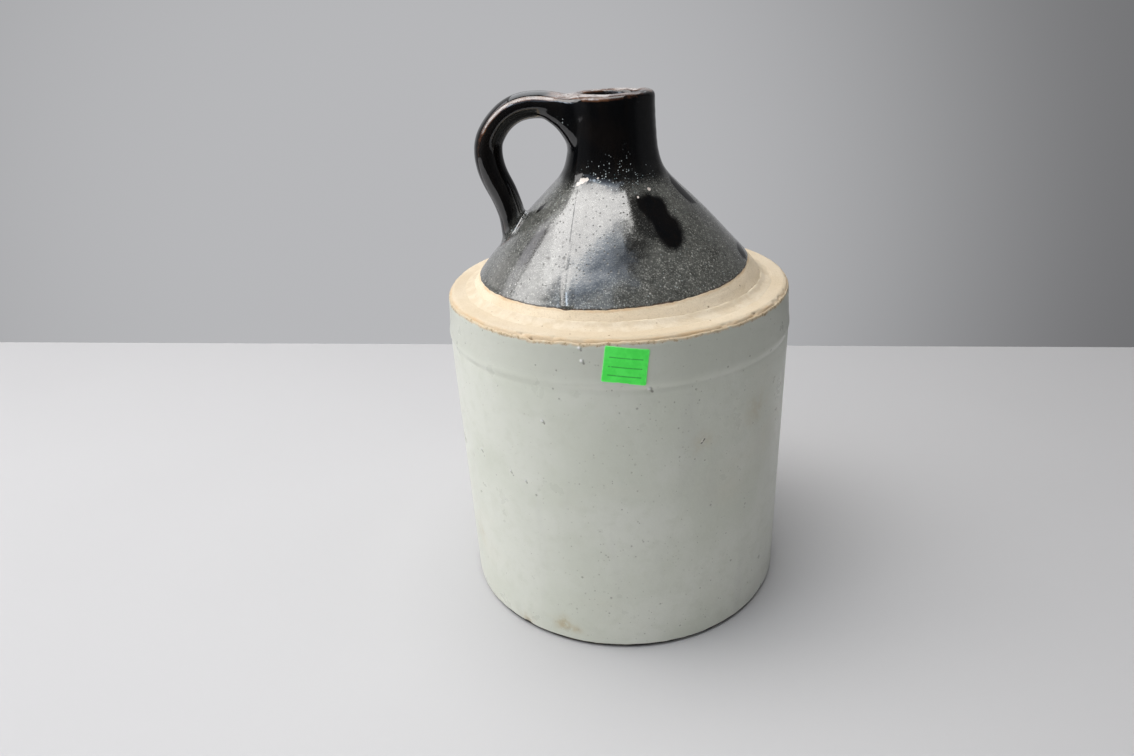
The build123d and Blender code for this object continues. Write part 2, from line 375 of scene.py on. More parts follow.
def white_glaze():
    g = Paint("pale_glaze")
    broad = g.noise(22, 4, 0.55)
    mid = g.noise(150, 4, 0.6)
    fine = g.noise(900, 3, 0.6)
    col = g.mix(g.fit(broad, 0.36, 0.64), (0.722, 0.746, 0.650), (0.782, 0.798, 0.716))
    col = g.mix(g.mul(g.fit(mid, 0.46, 0.72), 0.45), col, (0.678, 0.700, 0.600))
    warm = g.noise(11, 3, 0.5, vec=g.stretch((1, 1, 1.8), (3, 1, 2)))
    col = g.mix(g.mul(g.fit(warm, 0.52, 0.80), 0.35), col, (0.755, 0.705, 0.580))
    # greyer runs where the coat is thin
    runs = g.noise(70, 3, 0.5, vec=g.stretch((1, 1, 0.18), (1, 5, 2)))
    col = g.mix(g.mul(g.fit(runs, 0.56, 0.78), 0.30), col, (0.655, 0.665, 0.605))
    # painted shade: a little greyer above the groove, where the band leans in under the ledge
    col = g.mix(g.mul(g.fit(g.height(), 0.1455, 0.1500), 0.52), col, (0.60, 0.615, 0.545))
    # iron specks in three sizes
    d, r, s, t = g.cells(420)
    small = g.mul(g.fit(d, 0.24, 0.10), g.fit(r, 0.968, 0.975))
    d2, r2, s2, t2 = g.cells(150)
    middle = g.mul(g.fit(d2, 0.12, 0.05), g.fit(r2, 0.955, 0.96))
    d3, r3, s3, t3 = g.cells(52)
    large = g.mul(g.fit(d3, 0.040, 0.018), g.fit(r3, 0.955, 0.96))
    halo = g.mul(g.fit(d3, 0.11, 0.03), g.fit(r3, 0.955, 0.96), 0.30)
    col = g.mix(halo, col, (0.52, 0.47, 0.35))
    col = g.mix(g.mul(small, 0.38), col, (0.28, 0.255, 0.20))
    col = g.mix(g.mul(middle, 0.42), col, (0.24, 0.22, 0.175))
    col = g.mix(g.mul(large, 0.55), col, (0.18, 0.16, 0.125))
    # rust stains, pits and chips put where the jug has them
    stain = g.mask("stain")
    worn = g.math("MULTIPLY", stain, g.fit(g.noise(260, 5, 0.65), 0.28, 0.62))
    col = g.mix(g.mul(worn, 0.80), col, (0.50, 0.385, 0.17))
    pit = g.mask("pit")
    col = g.mix(g.mul(g.fit(pit, 0.15, 0.85), 0.22), col, (0.40, 0.38, 0.31))
    chip = g.mask("chip")
    chipped = g.fit(g.plus(chip, g.mul(g.math("SUBTRACT", g.noise(700, 4, 0.6), 0.5), 0.5)), 0.42, 0.62)
    col = g.mix(chipped, col, g.mix(g.noise(1200, 3, 0.6), (0.09, 0.05, 0.028), (0.23, 0.135, 0.07)))
    # the larger marks, each where the jug has it: iron specks, burst pinholes and a scratch
    where = g.tree.nodes.new("ShaderNodeSeparateXYZ")
    g.put(where.inputs[0], g.pos)
    turn = g.math("ARCTAN2", where.outputs[0], g.mul(where.outputs[1], -1.0))
    flat = g.tree.nodes.new("ShaderNodeCombineXYZ")
    g.put(flat.inputs[0], g.mul(turn, 0.0872))
    g.put(flat.inputs[1], where.outputs[2])
    blur = g.mul(g.math("SUBTRACT", g.noise(900, 3, 0.6), 0.5), 0.5)

    def nearest(marks, du=0.0, dv=0.0):
        best = None
        for a0, z0, size in marks:
            d = g.tree.nodes.new("ShaderNodeVectorMath")
            d.operation = "DISTANCE"
            g.put(d.inputs[0], flat.outputs[0])
            d.inputs[1].default_value = (math.radians(a0) * 0.0872 + du * size * MM, (z0 + dv * size) * MM, 0)
            q = g.mul(d.outputs["Value"], 1000.0 / size)
            best = q if best is None else g.math("MINIMUM", best, q)
        return best
    speck = g.fit(g.plus(nearest(SPECKS), g.mul(blur, 1.6)), 0.95, 0.25)
    col = g.mix(g.mul(speck, 0.50), col, (0.185, 0.170, 0.135))
    # painted shade on the lower right of each burst pinhole, and a painted highlight on its upper left
    shade = g.fit(g.plus(nearest(HOLES, 0.50, -0.55), g.mul(blur, 1.2)), 0.62, 0.20)
    col = g.mix(g.mul(shade, 0.66), col, (0.130, 0.118, 0.095))
    glint = g.fit(g.plus(nearest(HOLES, -0.45, 0.55), g.mul(blur, 0.6)), 0.85, 0.35)
    col = g.mix(glint, col, (0.94, 0.94, 0.92))
    pimple = g.fit(g.plus(nearest(HOLES, -0.30, 0.35), g.mul(blur, 0.4)), 1.15, 0.0)
    a0, z0, lean = SCRATCH
    off = g.tree.nodes.new("ShaderNodeVectorMath")
    off.operation = "SUBTRACT"
    g.put(off.inputs[0], flat.outputs[0])
    off.inputs[1].default_value = (math.radians(a0) * 0.0872, z0 * MM, 0)

    def dot(x, y):
        d = g.tree.nodes.new("ShaderNodeVectorMath")
        d.operation = "DOT_PRODUCT"
        g.put(d.inputs[0], off.outputs[0])
        d.inputs[1].default_value = (x * 1000, y * 1000, 0)
        return d.outputs["Value"]
    lean = math.radians(lean)
    along, across = dot(math.cos(lean), math.sin(lean)), dot(-math.sin(lean), math.cos(lean))
    across = g.plus(across, g.mul(blur, 0.5))
    inside = g.fit(g.math("ABSOLUTE", along), 1.7, 1.2)
    dark_line = g.mul(g.fit(g.math("ABSOLUTE", g.plus(across, 0.25)), 0.42, 0.20), inside, g.fit(g.math("ABSOLUTE", g.plus(along, 0.35)), 0.10, 0.35))
    scratch_highlight = g.mul(g.fit(g.math("ABSOLUTE", g.plus(across, -0.35)), 0.50, 0.22), g.fit(g.math("ABSOLUTE", g.plus(along, 0.25)), 1.1, 0.7))
    # a dark line along the scratch, and a painted highlight along its ridge
    col = g.mix(g.mul(dark_line, 0.85), col, (0.075, 0.055, 0.035))
    col = g.mix(g.mul(scratch_highlight, 0.95), col, (0.90, 0.87, 0.78))
    # thin at the rim and foot, where clay shows through with dirt in the pores
    rim = g.mask("rim")
    edge = g.fit(g.plus(rim, g.mul(g.math("SUBTRACT", g.noise(420, 4, 0.6), 0.5), 1.1)), 0.48, 1.0)
    col = g.mix(edge, col, g.mix(g.noise(300, 4, 0.6), (0.60, 0.47, 0.30), (0.74, 0.61, 0.44)))
    grime = g.mul(g.fit(rim, 0.30, 0.80), g.fit(g.noise(420, 5, 0.7), 0.52, 0.66))
    col = g.mix(g.mul(grime, 0.75), col, (0.27, 0.18, 0.085))
    # pinholes
    dp, rp, sp, tp = g.cells(760)
    hole = g.mul(g.fit(dp, 0.26, 0.10), g.fit(rp, 0.90, 0.92))
    col = g.mix(g.mul(hole, 0.35), col, (0.33, 0.31, 0.26))
    g.set(Base_Color=col,
          Roughness=g.plus(g.fit(g.noise(60, 4, 0.6), 0.3, 0.7, 0.27, 0.40),
                           g.mul(edge, 0.35), g.mul(chipped, 0.3), g.mul(pimple, -0.20)),
          IOR=1.5)
    peel = g.bump(g.noise(240, 3, 0.5), 0.26, 0.0006)
    # faint level lines left by the turning rib
    rib = g.noise(620, 4, 0.6, vec=g.stretch((0.035, 0.035, 1.0)))
    peel = g.bump(rib, 0.22, 0.00030, peel)
    peel = g.bump(fine, 0.20, 0.00022, peel)
    pocks = g.math("SUBTRACT", 1.0, g.both(hole, g.mul(small, 0.7), middle, large, g.mul(speck, 0.5), dark_line))
    peel = g.bump(pimple, 1.0, 0.0007, peel)
    g.set(Normal=g.bump(pocks, 0.75, 0.0003, peel))
    return g.mat


def bare_clay(name, lift):
    g = Paint(name)
    broad = g.noise(30, 4, 0.55)
    ring = g.noise(240, 3, 0.5, vec=g.stretch((0.10, 0.10, 1.0)))
    grain = g.noise(1500, 3, 0.7)
    col = g.mix(g.fit(broad, 0.35, 0.65), tuple(lift * c for c in (0.705, 0.585, 0.420)), tuple(lift * c for c in (0.780, 0.672, 0.515)))
    col = g.mix(g.mul(g.fit(ring, 0.45, 0.7), 0.30), col, (0.665, 0.555, 0.410))
    col = g.mix(g.mul(g.fit(grain, 0.50, 0.72), 0.46), col, (0.600, 0.490, 0.345))
    sand = g.noise(700, 4, 0.65)
    col = g.mix(g.mul(g.fit(sand, 0.54, 0.70), 0.34), col, (0.590, 0.465, 0.305))
    # toasted where the kiln flame caught an edge
    toast = g.mask("toast")
    hot = g.fit(g.plus(toast, g.mul(g.math("SUBTRACT", g.noise(110, 5, 0.6), 0.5), 0.9)), 0.35, 0.95)
    col = g.mix(g.mul(hot, 0.75), col, (0.68, 0.43, 0.205))
    # dirt in low places and painted shade in the groove, under the dark coat's edge and at the foot, and scattered iron
    dirt_and_shade = g.mask("dirt_and_shade")
    low = g.fit(g.plus(dirt_and_shade, g.mul(g.math("SUBTRACT", g.noise(330, 5, 0.65), 0.5), 0.9)), 0.45, 0.95)
    col = g.mix(g.mul(low, 0.85), col, (0.245, 0.150, 0.080))
    d, r, s, t = g.cells(300)
    col = g.mix(g.mul(g.fit(d, 0.20, 0.08), g.fit(r, 0.93, 0.94), 0.75), col, (0.30, 0.19, 0.10))
    # painted shade: the foot is nearly black where it stands on the table
    col = g.mix(g.mul(g.fit(dirt_and_shade, 1.0, 1.3), g.fit(g.noise(240, 4, 0.6), 0.25, 0.5, 0.80, 0.97)), col, (0.024, 0.025, 0.025))
    d2, r2, s2, t2 = g.cells(70)
    smear = g.mul(g.fit(d2, 0.16, 0.03), g.fit(r2, 0.88, 0.89))
    col = g.mix(g.mul(smear, 0.7), col, (0.42, 0.26, 0.13))
    g.set(Base_Color=col, Roughness=g.fit(grain, 0.3, 0.7, 0.78, 0.92), IOR=1.45)
    n = g.bump(grain, 0.55, 0.00035)
    n = g.bump(g.noise(420, 4, 0.6), 0.35, 0.0005, n)
    g.set(Normal=g.bump(ring, 0.25, 0.0005, n))
    return g.mat


def slip_clay():
    g = Paint("luting_slip")
    col = g.mix(g.fit(g.noise(180, 5, 0.6), 0.35, 0.65), (0.715, 0.598, 0.435), (0.795, 0.690, 0.535))
    col = g.mix(g.mul(g.fit(g.noise(520, 5, 0.65), 0.64, 0.74), 0.7), col, (0.33, 0.21, 0.11))
    g.set(Base_Color=col, Roughness=g.fit(g.noise(500, 3), 0.3, 0.7, 0.8, 0.95), IOR=1.45)
    g.set(Normal=g.bump(g.noise(700, 4, 0.65), 0.6, 0.0006))
    return g.mat


def dark_glaze(name, ior):
    g = Paint(name)
    frost = g.mask("frost")
    thin_glaze_and_highlight = g.mask("thin_glaze_and_highlight")
    chip = g.mask("chip")
    crease = g.mask("crease")
    painted_glint = g.mask("painted_glint")
    # near-black body with brown depth
    depth = g.noise(45, 4, 0.55)
    streak = g.noise(420, 3, 0.5, vec=g.stretch((1, 1, 0.06)))
    col = g.mix(g.fit(depth, 0.38, 0.68), (0.0030, 0.0033, 0.0040), (0.0062, 0.0050, 0.0046))
    col = g.mix(g.mul(g.fit(streak, 0.54, 0.74), 0.35), col, (0.012, 0.0075, 0.005))
    # frosting of fine crystals: grey bloom broken by dark glass, pores, rare white grains, and painted glints of
    # bubbles near the neck and the handle's joints
    cloud = g.noise(95, 4, 0.6)
    amount = g.mul(g.fit(frost, 0.02, 0.95), g.fit(cloud, 0.25, 0.70, 0.78, 1.05))
    dg, rg, sg, tg = g.cells(1350)
    dk, rk, sk, tk = g.cells(2400)
    mottle = g.noise(420, 3, 0.6)
    crystal = g.both(g.mul(g.fit(rg, 0.30, 0.92), g.fit(dg, 0.62, 0.25)),
                     g.mul(g.fit(rk, 0.45, 1.0), g.fit(dk, 0.62, 0.25), 0.65))
    white = g.fit(frost, 1.0, 1.3)
    grey = g.mix(g.fit(mottle, 0.35, 0.65), (0.30, 0.305, 0.275), (0.44, 0.44, 0.40))
    col = g.mix(g.mul(amount, g.fit(mottle, 0.35, 0.65, 0.34, 0.54)), col, (0.205, 0.210, 0.188))
    col = g.mix(g.mul(amount, crystal, 0.88), col, grey)
    col = g.mix(g.mul(white, 0.45), col, (0.42, 0.41, 0.39))
    dh, rh, sh, th = g.cells(650)
    pore = g.mul(g.fit(dh, 0.36, 0.12), g.fit(rh, 0.66, 0.74), g.fit(frost, 0.05, 0.4))
    db, rb, sb, tb = g.cells(270)
    blot = g.mul(g.fit(db, 0.34, 0.08), g.fit(rb, 0.66, 0.80), g.fit(frost, 0.2, 0.6))
    hole = g.both(g.mul(pore, 0.85), g.mul(blot, 0.50))
    col = g.mix(g.mul(hole, 0.70), col, g.mix(sb, (0.040, 0.036, 0.033), (0.075, 0.058, 0.045)))
    open_frost = g.mul(g.fit(frost, 0.76, 0.83), g.fit(frost, 1.15, 1.02))
    d2, r2, s2, t2 = g.cells(760)
    pale = g.mul(g.fit(d2, 0.40, 0.18), g.fit(r2, 0.83, 0.90))
    col = g.mix(g.mul(amount, pale, g.fit(frost, 0.6, 0.83, 0.30, 0.95)), col, g.mix(s2, (0.36, 0.36, 0.33), (0.66, 0.65, 0.605)))
    d3, r3, s3, t3 = g.cells(1250)
    # white grains in the open frost, and painted glints of bubbles on the neck's base and the handle's joints
    bright = g.mul(g.fit(d3, 0.46, 0.16), g.fit(g.plus(r3, g.mul(painted_glint, g.fit(g.noise(230, 3, 0.6), 0.42, 0.62, 0.14, 0.50))), 0.945, 0.985))
    grain_and_glint = g.mul(bright, g.both(open_frost, g.fit(painted_glint, 0.05, 0.4)), 0.9)
    col = g.mix(grain_and_glint, col, g.mix(s3, (0.10, 0.16, 0.17), (0.78, 0.86, 0.86)))
    # a run down the front: a fine dark crease beside its ridge, painted as a dark blue-grey line of shade
    where = g.tree.nodes.new("ShaderNodeSeparateXYZ")
    g.put(where.inputs[0], g.pos)
    turn = g.math("ARCTAN2", where.outputs[0], g.mul(where.outputs[1], -1.0))
    t = g.math("MULTIPLY_ADD", where.outputs[2], 50.0, -9.75)
    c3, c2, c1, c0 = RUN
    path = g.math("MULTIPLY_ADD", g.math("MULTIPLY_ADD", g.math("MULTIPLY_ADD", c3, t, c2), t, c1), t, c0)
    radius = g.math("SQRT", g.plus(g.mul(where.outputs[0], where.outputs[0]), g.mul(where.outputs[1], where.outputs[1])))
    off = g.math("ABSOLUTE", g.plus(g.mul(g.math("SUBTRACT", turn, path), radius), 0.0007))
    wander = g.mul(g.math("SUBTRACT", g.noise(160, 3, 0.5), 0.5), 0.0009)
    crease = g.mul(g.fit(g.math("ABSOLUTE", g.plus(off, wander)), 0.00042, 0.00012), crease,
                   g.fit(g.noise(150, 3, 0.6), 0.36, 0.56, 0.10, 1.0))
    col = g.mix(g.mul(crease, 0.55), col, (0.030, 0.034, 0.042))
    # brown where the coat runs thin over an edge; pink where it is thinnest, which on the lip's front-left and the
    # handle's crest is partly a painted highlight
    ragged = g.plus(thin_glaze_and_highlight, g.mul(g.math("SUBTRACT", g.noise(380, 4, 0.6), 0.5), 0.7))
    brown = g.fit(ragged, 0.30, 0.80)
    col = g.mix(g.mul(brown, 0.9), col, g.mix(g.fit(g.noise(210, 4, 0.6), 0.35, 0.65),
                                            (0.058, 0.023, 0.013), (0.18, 0.080, 0.038)))
    pink_and_highlight = g.mul(g.fit(ragged, 0.86, 1.10), g.fit(g.noise(300, 4, 0.6), 0.30, 0.52, 0.35, 1.0))
    col = g.mix(g.mul(pink_and_highlight, 0.8), col, g.mix(g.noise(150, 4, 0.6), (0.30, 0.255, 0.235), (0.56, 0.52, 0.50)))
    # burst bubbles and chips that show clay
    chipped = g.fit(g.plus(chip, g.mul(g.math("SUBTRACT", g.noise(600, 4, 0.6), 0.5), 0.6)), 0.45, 0.62)
    col = g.mix(chipped, col, g.mix(g.noise(900, 3, 0.6), (0.70, 0.61, 0.54), (0.88, 0.81, 0.75)))
    rough = g.plus(g.fit(g.noise(120, 4, 0.6), 0.35, 0.65, 0.05, 0.11), g.mul(amount, g.fit(cloud, 0.3, 0.7, 0.20, 0.27)), g.mul(hole, 0.30),
                   g.mul(brown, 0.07), g.mul(chipped, 0.4), g.mul(crease, 0.2))
    shine = g.mul(g.fit(frost, 0.06, 0.45), g.math("SUBTRACT", 1.0, g.both(hole, crease)),
                  g.fit(mottle, 0.34, 0.62, 0.88, 1.0))
    g.set(Base_Color=col, Roughness=rough, IOR=ior, Coat_Weight=shine, Coat_Roughness=0.10, Coat_IOR=1.8)
    wave = g.bump(g.noise(150, 3, 0.5), 0.08, 0.0008)
    pebble = g.plus(g.mul(amount, pale), g.mul(amount, crystal, 0.7))
    skin = g.bump(g.math("SUBTRACT", g.mul(pebble, 0.35), hole), 0.30, 0.00016, wave)
    g.set(Normal=g.bump(g.plus(pebble, grain_and_glint), 0.22, 0.00014, skin), Coat_Normal=skin)
    return g.mat


def liner_glaze():
    g = Paint("liner_glaze")
    col = g.mix(g.fit(g.noise(60, 5, 0.6), 0.35, 0.65), (0.016, 0.008, 0.005), (0.065, 0.030, 0.016))
    col = g.mix(g.fit(g.noise(700, 3, 0.6), 0.60, 0.72), col, (0.11, 0.06, 0.035))
    g.set(Base_Color=col, Roughness=g.fit(g.noise(90, 4), 0.3, 0.7, 0.10, 0.22), IOR=1.6)
    g.set(Normal=g.bump(g.noise(260, 4, 0.55), 0.35, 0.0006))
    return g.mat


def label_paper():
    g = Paint("green_paper")
    fibre = g.noise(2600, 4, 0.7, vec=g.stretch((1.0, 1.0, 0.35)))
    cloud = g.noise(240, 4, 0.6)
    col = g.mix(g.fit(cloud, 0.35, 0.65), (0.070, 0.700, 0.085), (0.105, 0.800, 0.125))
    col = g.mix(g.mul(g.fit(fibre, 0.5, 0.75), 0.25), col, (0.16, 0.84, 0.19))
    line = g.mask("ruled")
    ink = g.mul(g.fit(line, 0.35, 0.65), g.fit(g.noise(900, 4, 0.6), 0.28, 0.46))
    col = g.mix(g.mul(ink, 0.72), col, (0.020, 0.120, 0.035))
    worn = g.mask("edge")
    col = g.mix(g.mul(g.fit(g.plus(worn, g.mul(g.math("SUBTRACT", g.noise(800, 4), 0.5), 0.8)), 0.62, 0.95), 0.6),
                col, (0.34, 0.86, 0.36))
    # painted light: the paper glows a faint green of its own
    g.set(Base_Color=col, Roughness=g.fit(fibre, 0.3, 0.7, 0.50, 0.66), IOR=1.45,
          Emission_Color=(0.05, 0.85, 0.07), Emission_Strength=0.24)
    g.set(Normal=g.bump(fibre, 0.30, 0.00012, g.bump(cloud, 0.2, 0.0004)))
    return g.mat


def table_top():
    g = Paint("stage_top")
    col = g.mix(g.fit(g.noise(2.2, 3), 0.35, 0.65), (0.604, 0.601, 0.610), (0.621, 0.618, 0.627))
    g.set(Base_Color=col, Roughness=0.6, IOR=1.4)
    return g.mat


# ------------------------------------------------------------------ profiles
FOOT_R = 85.0
CLAY_OUT = [(85.0, 0.0), (85.95, 1.3), (86.45, 144.5), (86.72, 147.0), (86.2, 152.0), (85.72, 158.0),
            (85.38, 163.6), (85.1, 165.6), (84.5, 166.95), (83.4, 167.65), (82.4, 167.8)]
CONE = [(74.0, 167.6), (69.95, 172.9), (67.45, 176.0), (64.3, 179.8), (56.45, 188.3),
        (48.5, 196.9), (40.2, 205.4), (33.0, 212.3), (28.0, 217.3), (24.4, 222.0),
        (22.55, 226.8), (21.6, 231.2), (21.05, 237.0), (20.6, 244.0), (20.4, 250.6)]
LIP = [(20.4, 250.6), (20.42, 253.8), (20.2, 254.95), (19.5, 255.85), (18.2, 256.5), (16.4, 256.9), (15.2, 256.8),
       (14.0, 256.1), (13.0, 254.6), (12.35, 252.8), (12.0, 251.5)]
TOP_Z = 256.9
SURFACE = np.concatenate([spline(CONE)[:-1], dense(LIP, blur=0.35)])
INNER_TOP = [(12.4, 251.5), (12.4, 225.0), (14.6, 220.6), (20.6, 213.9), (27.7, 206.9),
             (34.9, 199.9), (43.3, 191.6), (51.1, 183.0), (58.9, 174.6), (64.6, 167.6),
             (66.5, 163.8)]
INNER_BODY = [(72.0, 9.0), (77.4, 11.4), (79.3, 16.0), (79.3, 145.0), (66.5, 159.4),
              (66.5, 163.2)]


# ------------------------------------------------------------------ clay body
def build_crock():
    az = columns(520, 0.6)[None, :]
    parts = []                                    # (r, z, share, kind) per row

    def run(points, gap, share, kind, blur=0.0):
        line = dense(points, blur=blur)
        s = np.linspace(0, arclen(line)[-1], max(2, int(arclen(line)[-1] / gap) + 1))
        r, z = at(line, s)
        for k in range(len(s)):
            if parts and k == 0:
                continue
            parts.append((r[k], z[k], share, kind))

    run([(12.0, 0.0), (84.3, 0.0)], 6.0, 3.0, 0)
    run([(84.3, 0.0), (85.3, 0.02), (85.75, 0.35), (85.92, 1.0), (86.0, 2.4)], 0.22, 0.5, 1, 0.15)
    run([(86.0, 2.4), (86.45, 144.5), (86.72, 147.0), (86.2, 152.0), (85.72, 158.0), (85.4, 163.0)], 4.5, 0.3, 2)
    run([(85.4, 163.0), (85.36, 163.9), (85.1, 165.6), (84.5, 166.95), (83.4, 167.65), (82.2, 167.84)],
        0.24, 0.6, 3, 0.3)
    run([(82.2, 167.84), (80.0, 167.80), (77.4, 167.80), (75.5, 167.78)], 0.34, 0.6, 3)
    run([(75.5, 167.78), (74.95, 167.62), (74.66, 167.1), (74.6, 166.2)], 0.22, 0.6, 3, 0.15)
    run([(74.6, 166.2), (74.6, 163.2), (66.5, 163.2), (66.5, 159.4), (79.3, 145.0), (79.3, 16.0),
         (77.4, 11.4), (72.0, 9.0), (12.0, 9.0)], 7.0, 0.5, 4)
    r, z, share, kind = (np.array(c)[:, None] for c in zip(*parts))
    p = place(r, z, az)
    top = (kind == 3)
    lip = np.clip((r - 74.6) / 12.2, 0, 1)
    # turned ledge: shallow dish, tool lines, grain, and small nicks on its outer corner
    lift = np.where(top & (z > 167.2),
                    -0.10 * np.sin(np.pi * lip) + 0.045 * noise(p * [0.10, 0.10, 1], 1.3, 2)
                    + 0.030 * np.sin(r * 5.1 + 2.0 * loop_noise(az, 50, 4))
                    + 0.030 * noise(p, 2.2, 3) + 0.045 * noise(p, 14, 4), 0)
    nick = np.zeros_like(p[..., 0])
    rng = np.random.default_rng(31)
    for _ in range(46):
        a0 = rng.uniform(-math.pi, math.pi)
        size = rng.uniform(0.5, 1.7)
        along = np.abs((az - a0 + math.pi) % (2 * math.pi) - math.pi) * 86
        nick += size * 0.42 * bell(along, size * 1.1) * bell(np.hypot(r - 84.35, z - 167.0), 0.8)
    out = np.where(top, -nick * 0.6, 0)
    foot = np.where(kind == 1, 0.10 * noise(p, 3.0, 7) + 0.12 * noise(p, 17.0, 8), 0)
    r = r + out + foot
    z = np.where(kind == 1, np.maximum(z, 0) + np.abs(foot) * 0.3 * (z > 0.05), z + lift - nick * 0.6 * top)
    z = np.where(kind == 0, 0.35 * step(84, 70, r) + np.abs(0.08 * noise(p, 5, 9)) * step(84, 80, r), z)
    p = place(r, z, az)
    toast = np.where(top, 0.62 * step(82.2, 84.6, r) + 0.25 * bell(r - 75.2, 0.9), 0) + 0 * az
    toast = np.where(kind == 1, 0.7, toast) + np.where(kind == 0, 0.25, 0)
    # dirt and painted shade: shade in the groove at the ledge's inner edge, dirt at its outer corner and in the nicks
    dirt_and_shade = np.where(top, 0.45 * step(75.3, 74.5, r) + 0.35 * step(84.4, 85.3, r) * (1 + 0.9 * loop_noise(az, 2.6, 16)) + 0.8 * np.clip(nick, 0, 1)
                    + 0.42 * step(83.9, 84.5, r) * (bell(np.degrees(az) + 25.5, 1.1) + 0.45 * bell(np.degrees(az) + 20, 4.0) + 0.4 * bell(np.degrees(az) + 9, 3.5))
                    + 0.20 * bell(loop_noise(az, 25, 6) - 0.4, 0.25) * bell(r - 76.6, 1.6), 0)
    # painted shade: the foot edge made nearly black where it meets the table
    dirt_and_shade = np.where(kind == 1, 1.5 + 0.2 * loop_noise(az, 12, 5), dirt_and_shade) + np.where(kind == 0, 0.2, 0)
    return lathe("crock_clay", p, az[0], np.broadcast_to(share, share.shape)[1:, 0],
                 0.35, 9.0, {"toast": toast, "dirt_and_shade": dirt_and_shade})


# ------------------------------------------------------------------ pale glaze
# pits and flaws on the wall: (az degrees, z, radius, depth)
PITS = [(-59.9, 88.8, 1.5, 0.24), (-55.3, 95.8, 1.3, 0.22), (-51.1, 100.4, 1.2, 0.20),
        (8.7, 144.0, 1.6, 0.22), (-23.1, 126.3, 1.1, 0.20), (28.9, 77.8, 0.9, 0.16), (-36.1, 3.1, 2.0, 0.40)]
CHIPS = [(-150.0, 60.0, 1.5, 0.30)]
# the same kinds of mark by (az degrees, z, size), and a scratch by (az, z, lean)
SPECKS = [(-4.3, 31.9, 0.80), (11.6, 26.7, 0.85), (25.5, 30.7, 0.60), (-5.1, 22.1, 0.70), (18.4, 10.2, 0.75),
          (3.8, 57.0, 0.60), (2.6, 63.2, 0.75), (-7.0, 59.3, 0.55), (-5.5, 57.7, 0.50), (-31.8, 49.3, 0.45),
          (-16.6, 60.7, 0.50), (-44.6, 164.1, 0.70), (-55.6, 153.0, 0.70), (-30.3, 166.0, 0.90), (-19.2, 144.1, 0.75),
          (-17.4, 139.7, 0.60), (53.4, 146.2, 1.00), (53.4, 161.1, 0.60), (41.9, 149.3, 0.60), (40.4, 133.3, 0.50),
          (5.0, 135.9, 0.80), (-17.8, 153.0, 0.60), (-24.3, 154.2, 0.60), (-2.0, 144.8, 0.60), (28.5, 78.6, 0.85),
          (17.1, 123.8, 0.60), (-44.8, 88.0, 0.60), (-36.3, 92.9, 0.70), (-51.0, 94.8, 0.60), (-45.4, 26.6, 0.50),
          (40.2, 85.7, 0.50), (-0.1, 84.0, 0.50), (-5.6, 156.4, 0.45), (33.0, 148.2, 0.80), (23.6, 135.7, 0.50)]
HOLES = [(-10.6, 163.3, 1.00), (-10.0, 157.6, 1.15), (8.9, 144.1, 1.30), (-23.1, 126.7, 1.10), (-52.0, 97.3, 1.10),
          (-37.1, 94.5, 0.90), (-31.1, 92.0, 0.90), (66.1, 146.5, 1.00), (71.5, 64.3, 1.00)]
SCRATCH = (25.0, 114.7, 48.0)
STAINS = [(25.0, 114.7, 4.6, 0.42), (-21.0, 10.6, 4.6, 0.9), (-17.0, 8.0, 3.0, 0.6),
          (-36.1, 3.4, 4.0, 0.7), (47.0, 120.0, 7.0, 0.35), (-62.0, 40.0, 6.0, 0.3)]


def wall_relief(p, z, az):
    """Hand-made unevenness of the glazed wall, mm outwards."""
    d = 0.17 * noise(p * [1, 1, 0.7], 58, 1) + 0.055 * noise(p, 17, 2) + 0.020 * noise(p, 6, 3)
    lines = 0.030 * noise(np.stack([z * 0 + 0.3, z * 0 + 0.7, z / 3.1 + 0.25 * loop_noise(az, 60, 9)], -1), 1.0, 4)
    return d + lines * (z < 143)


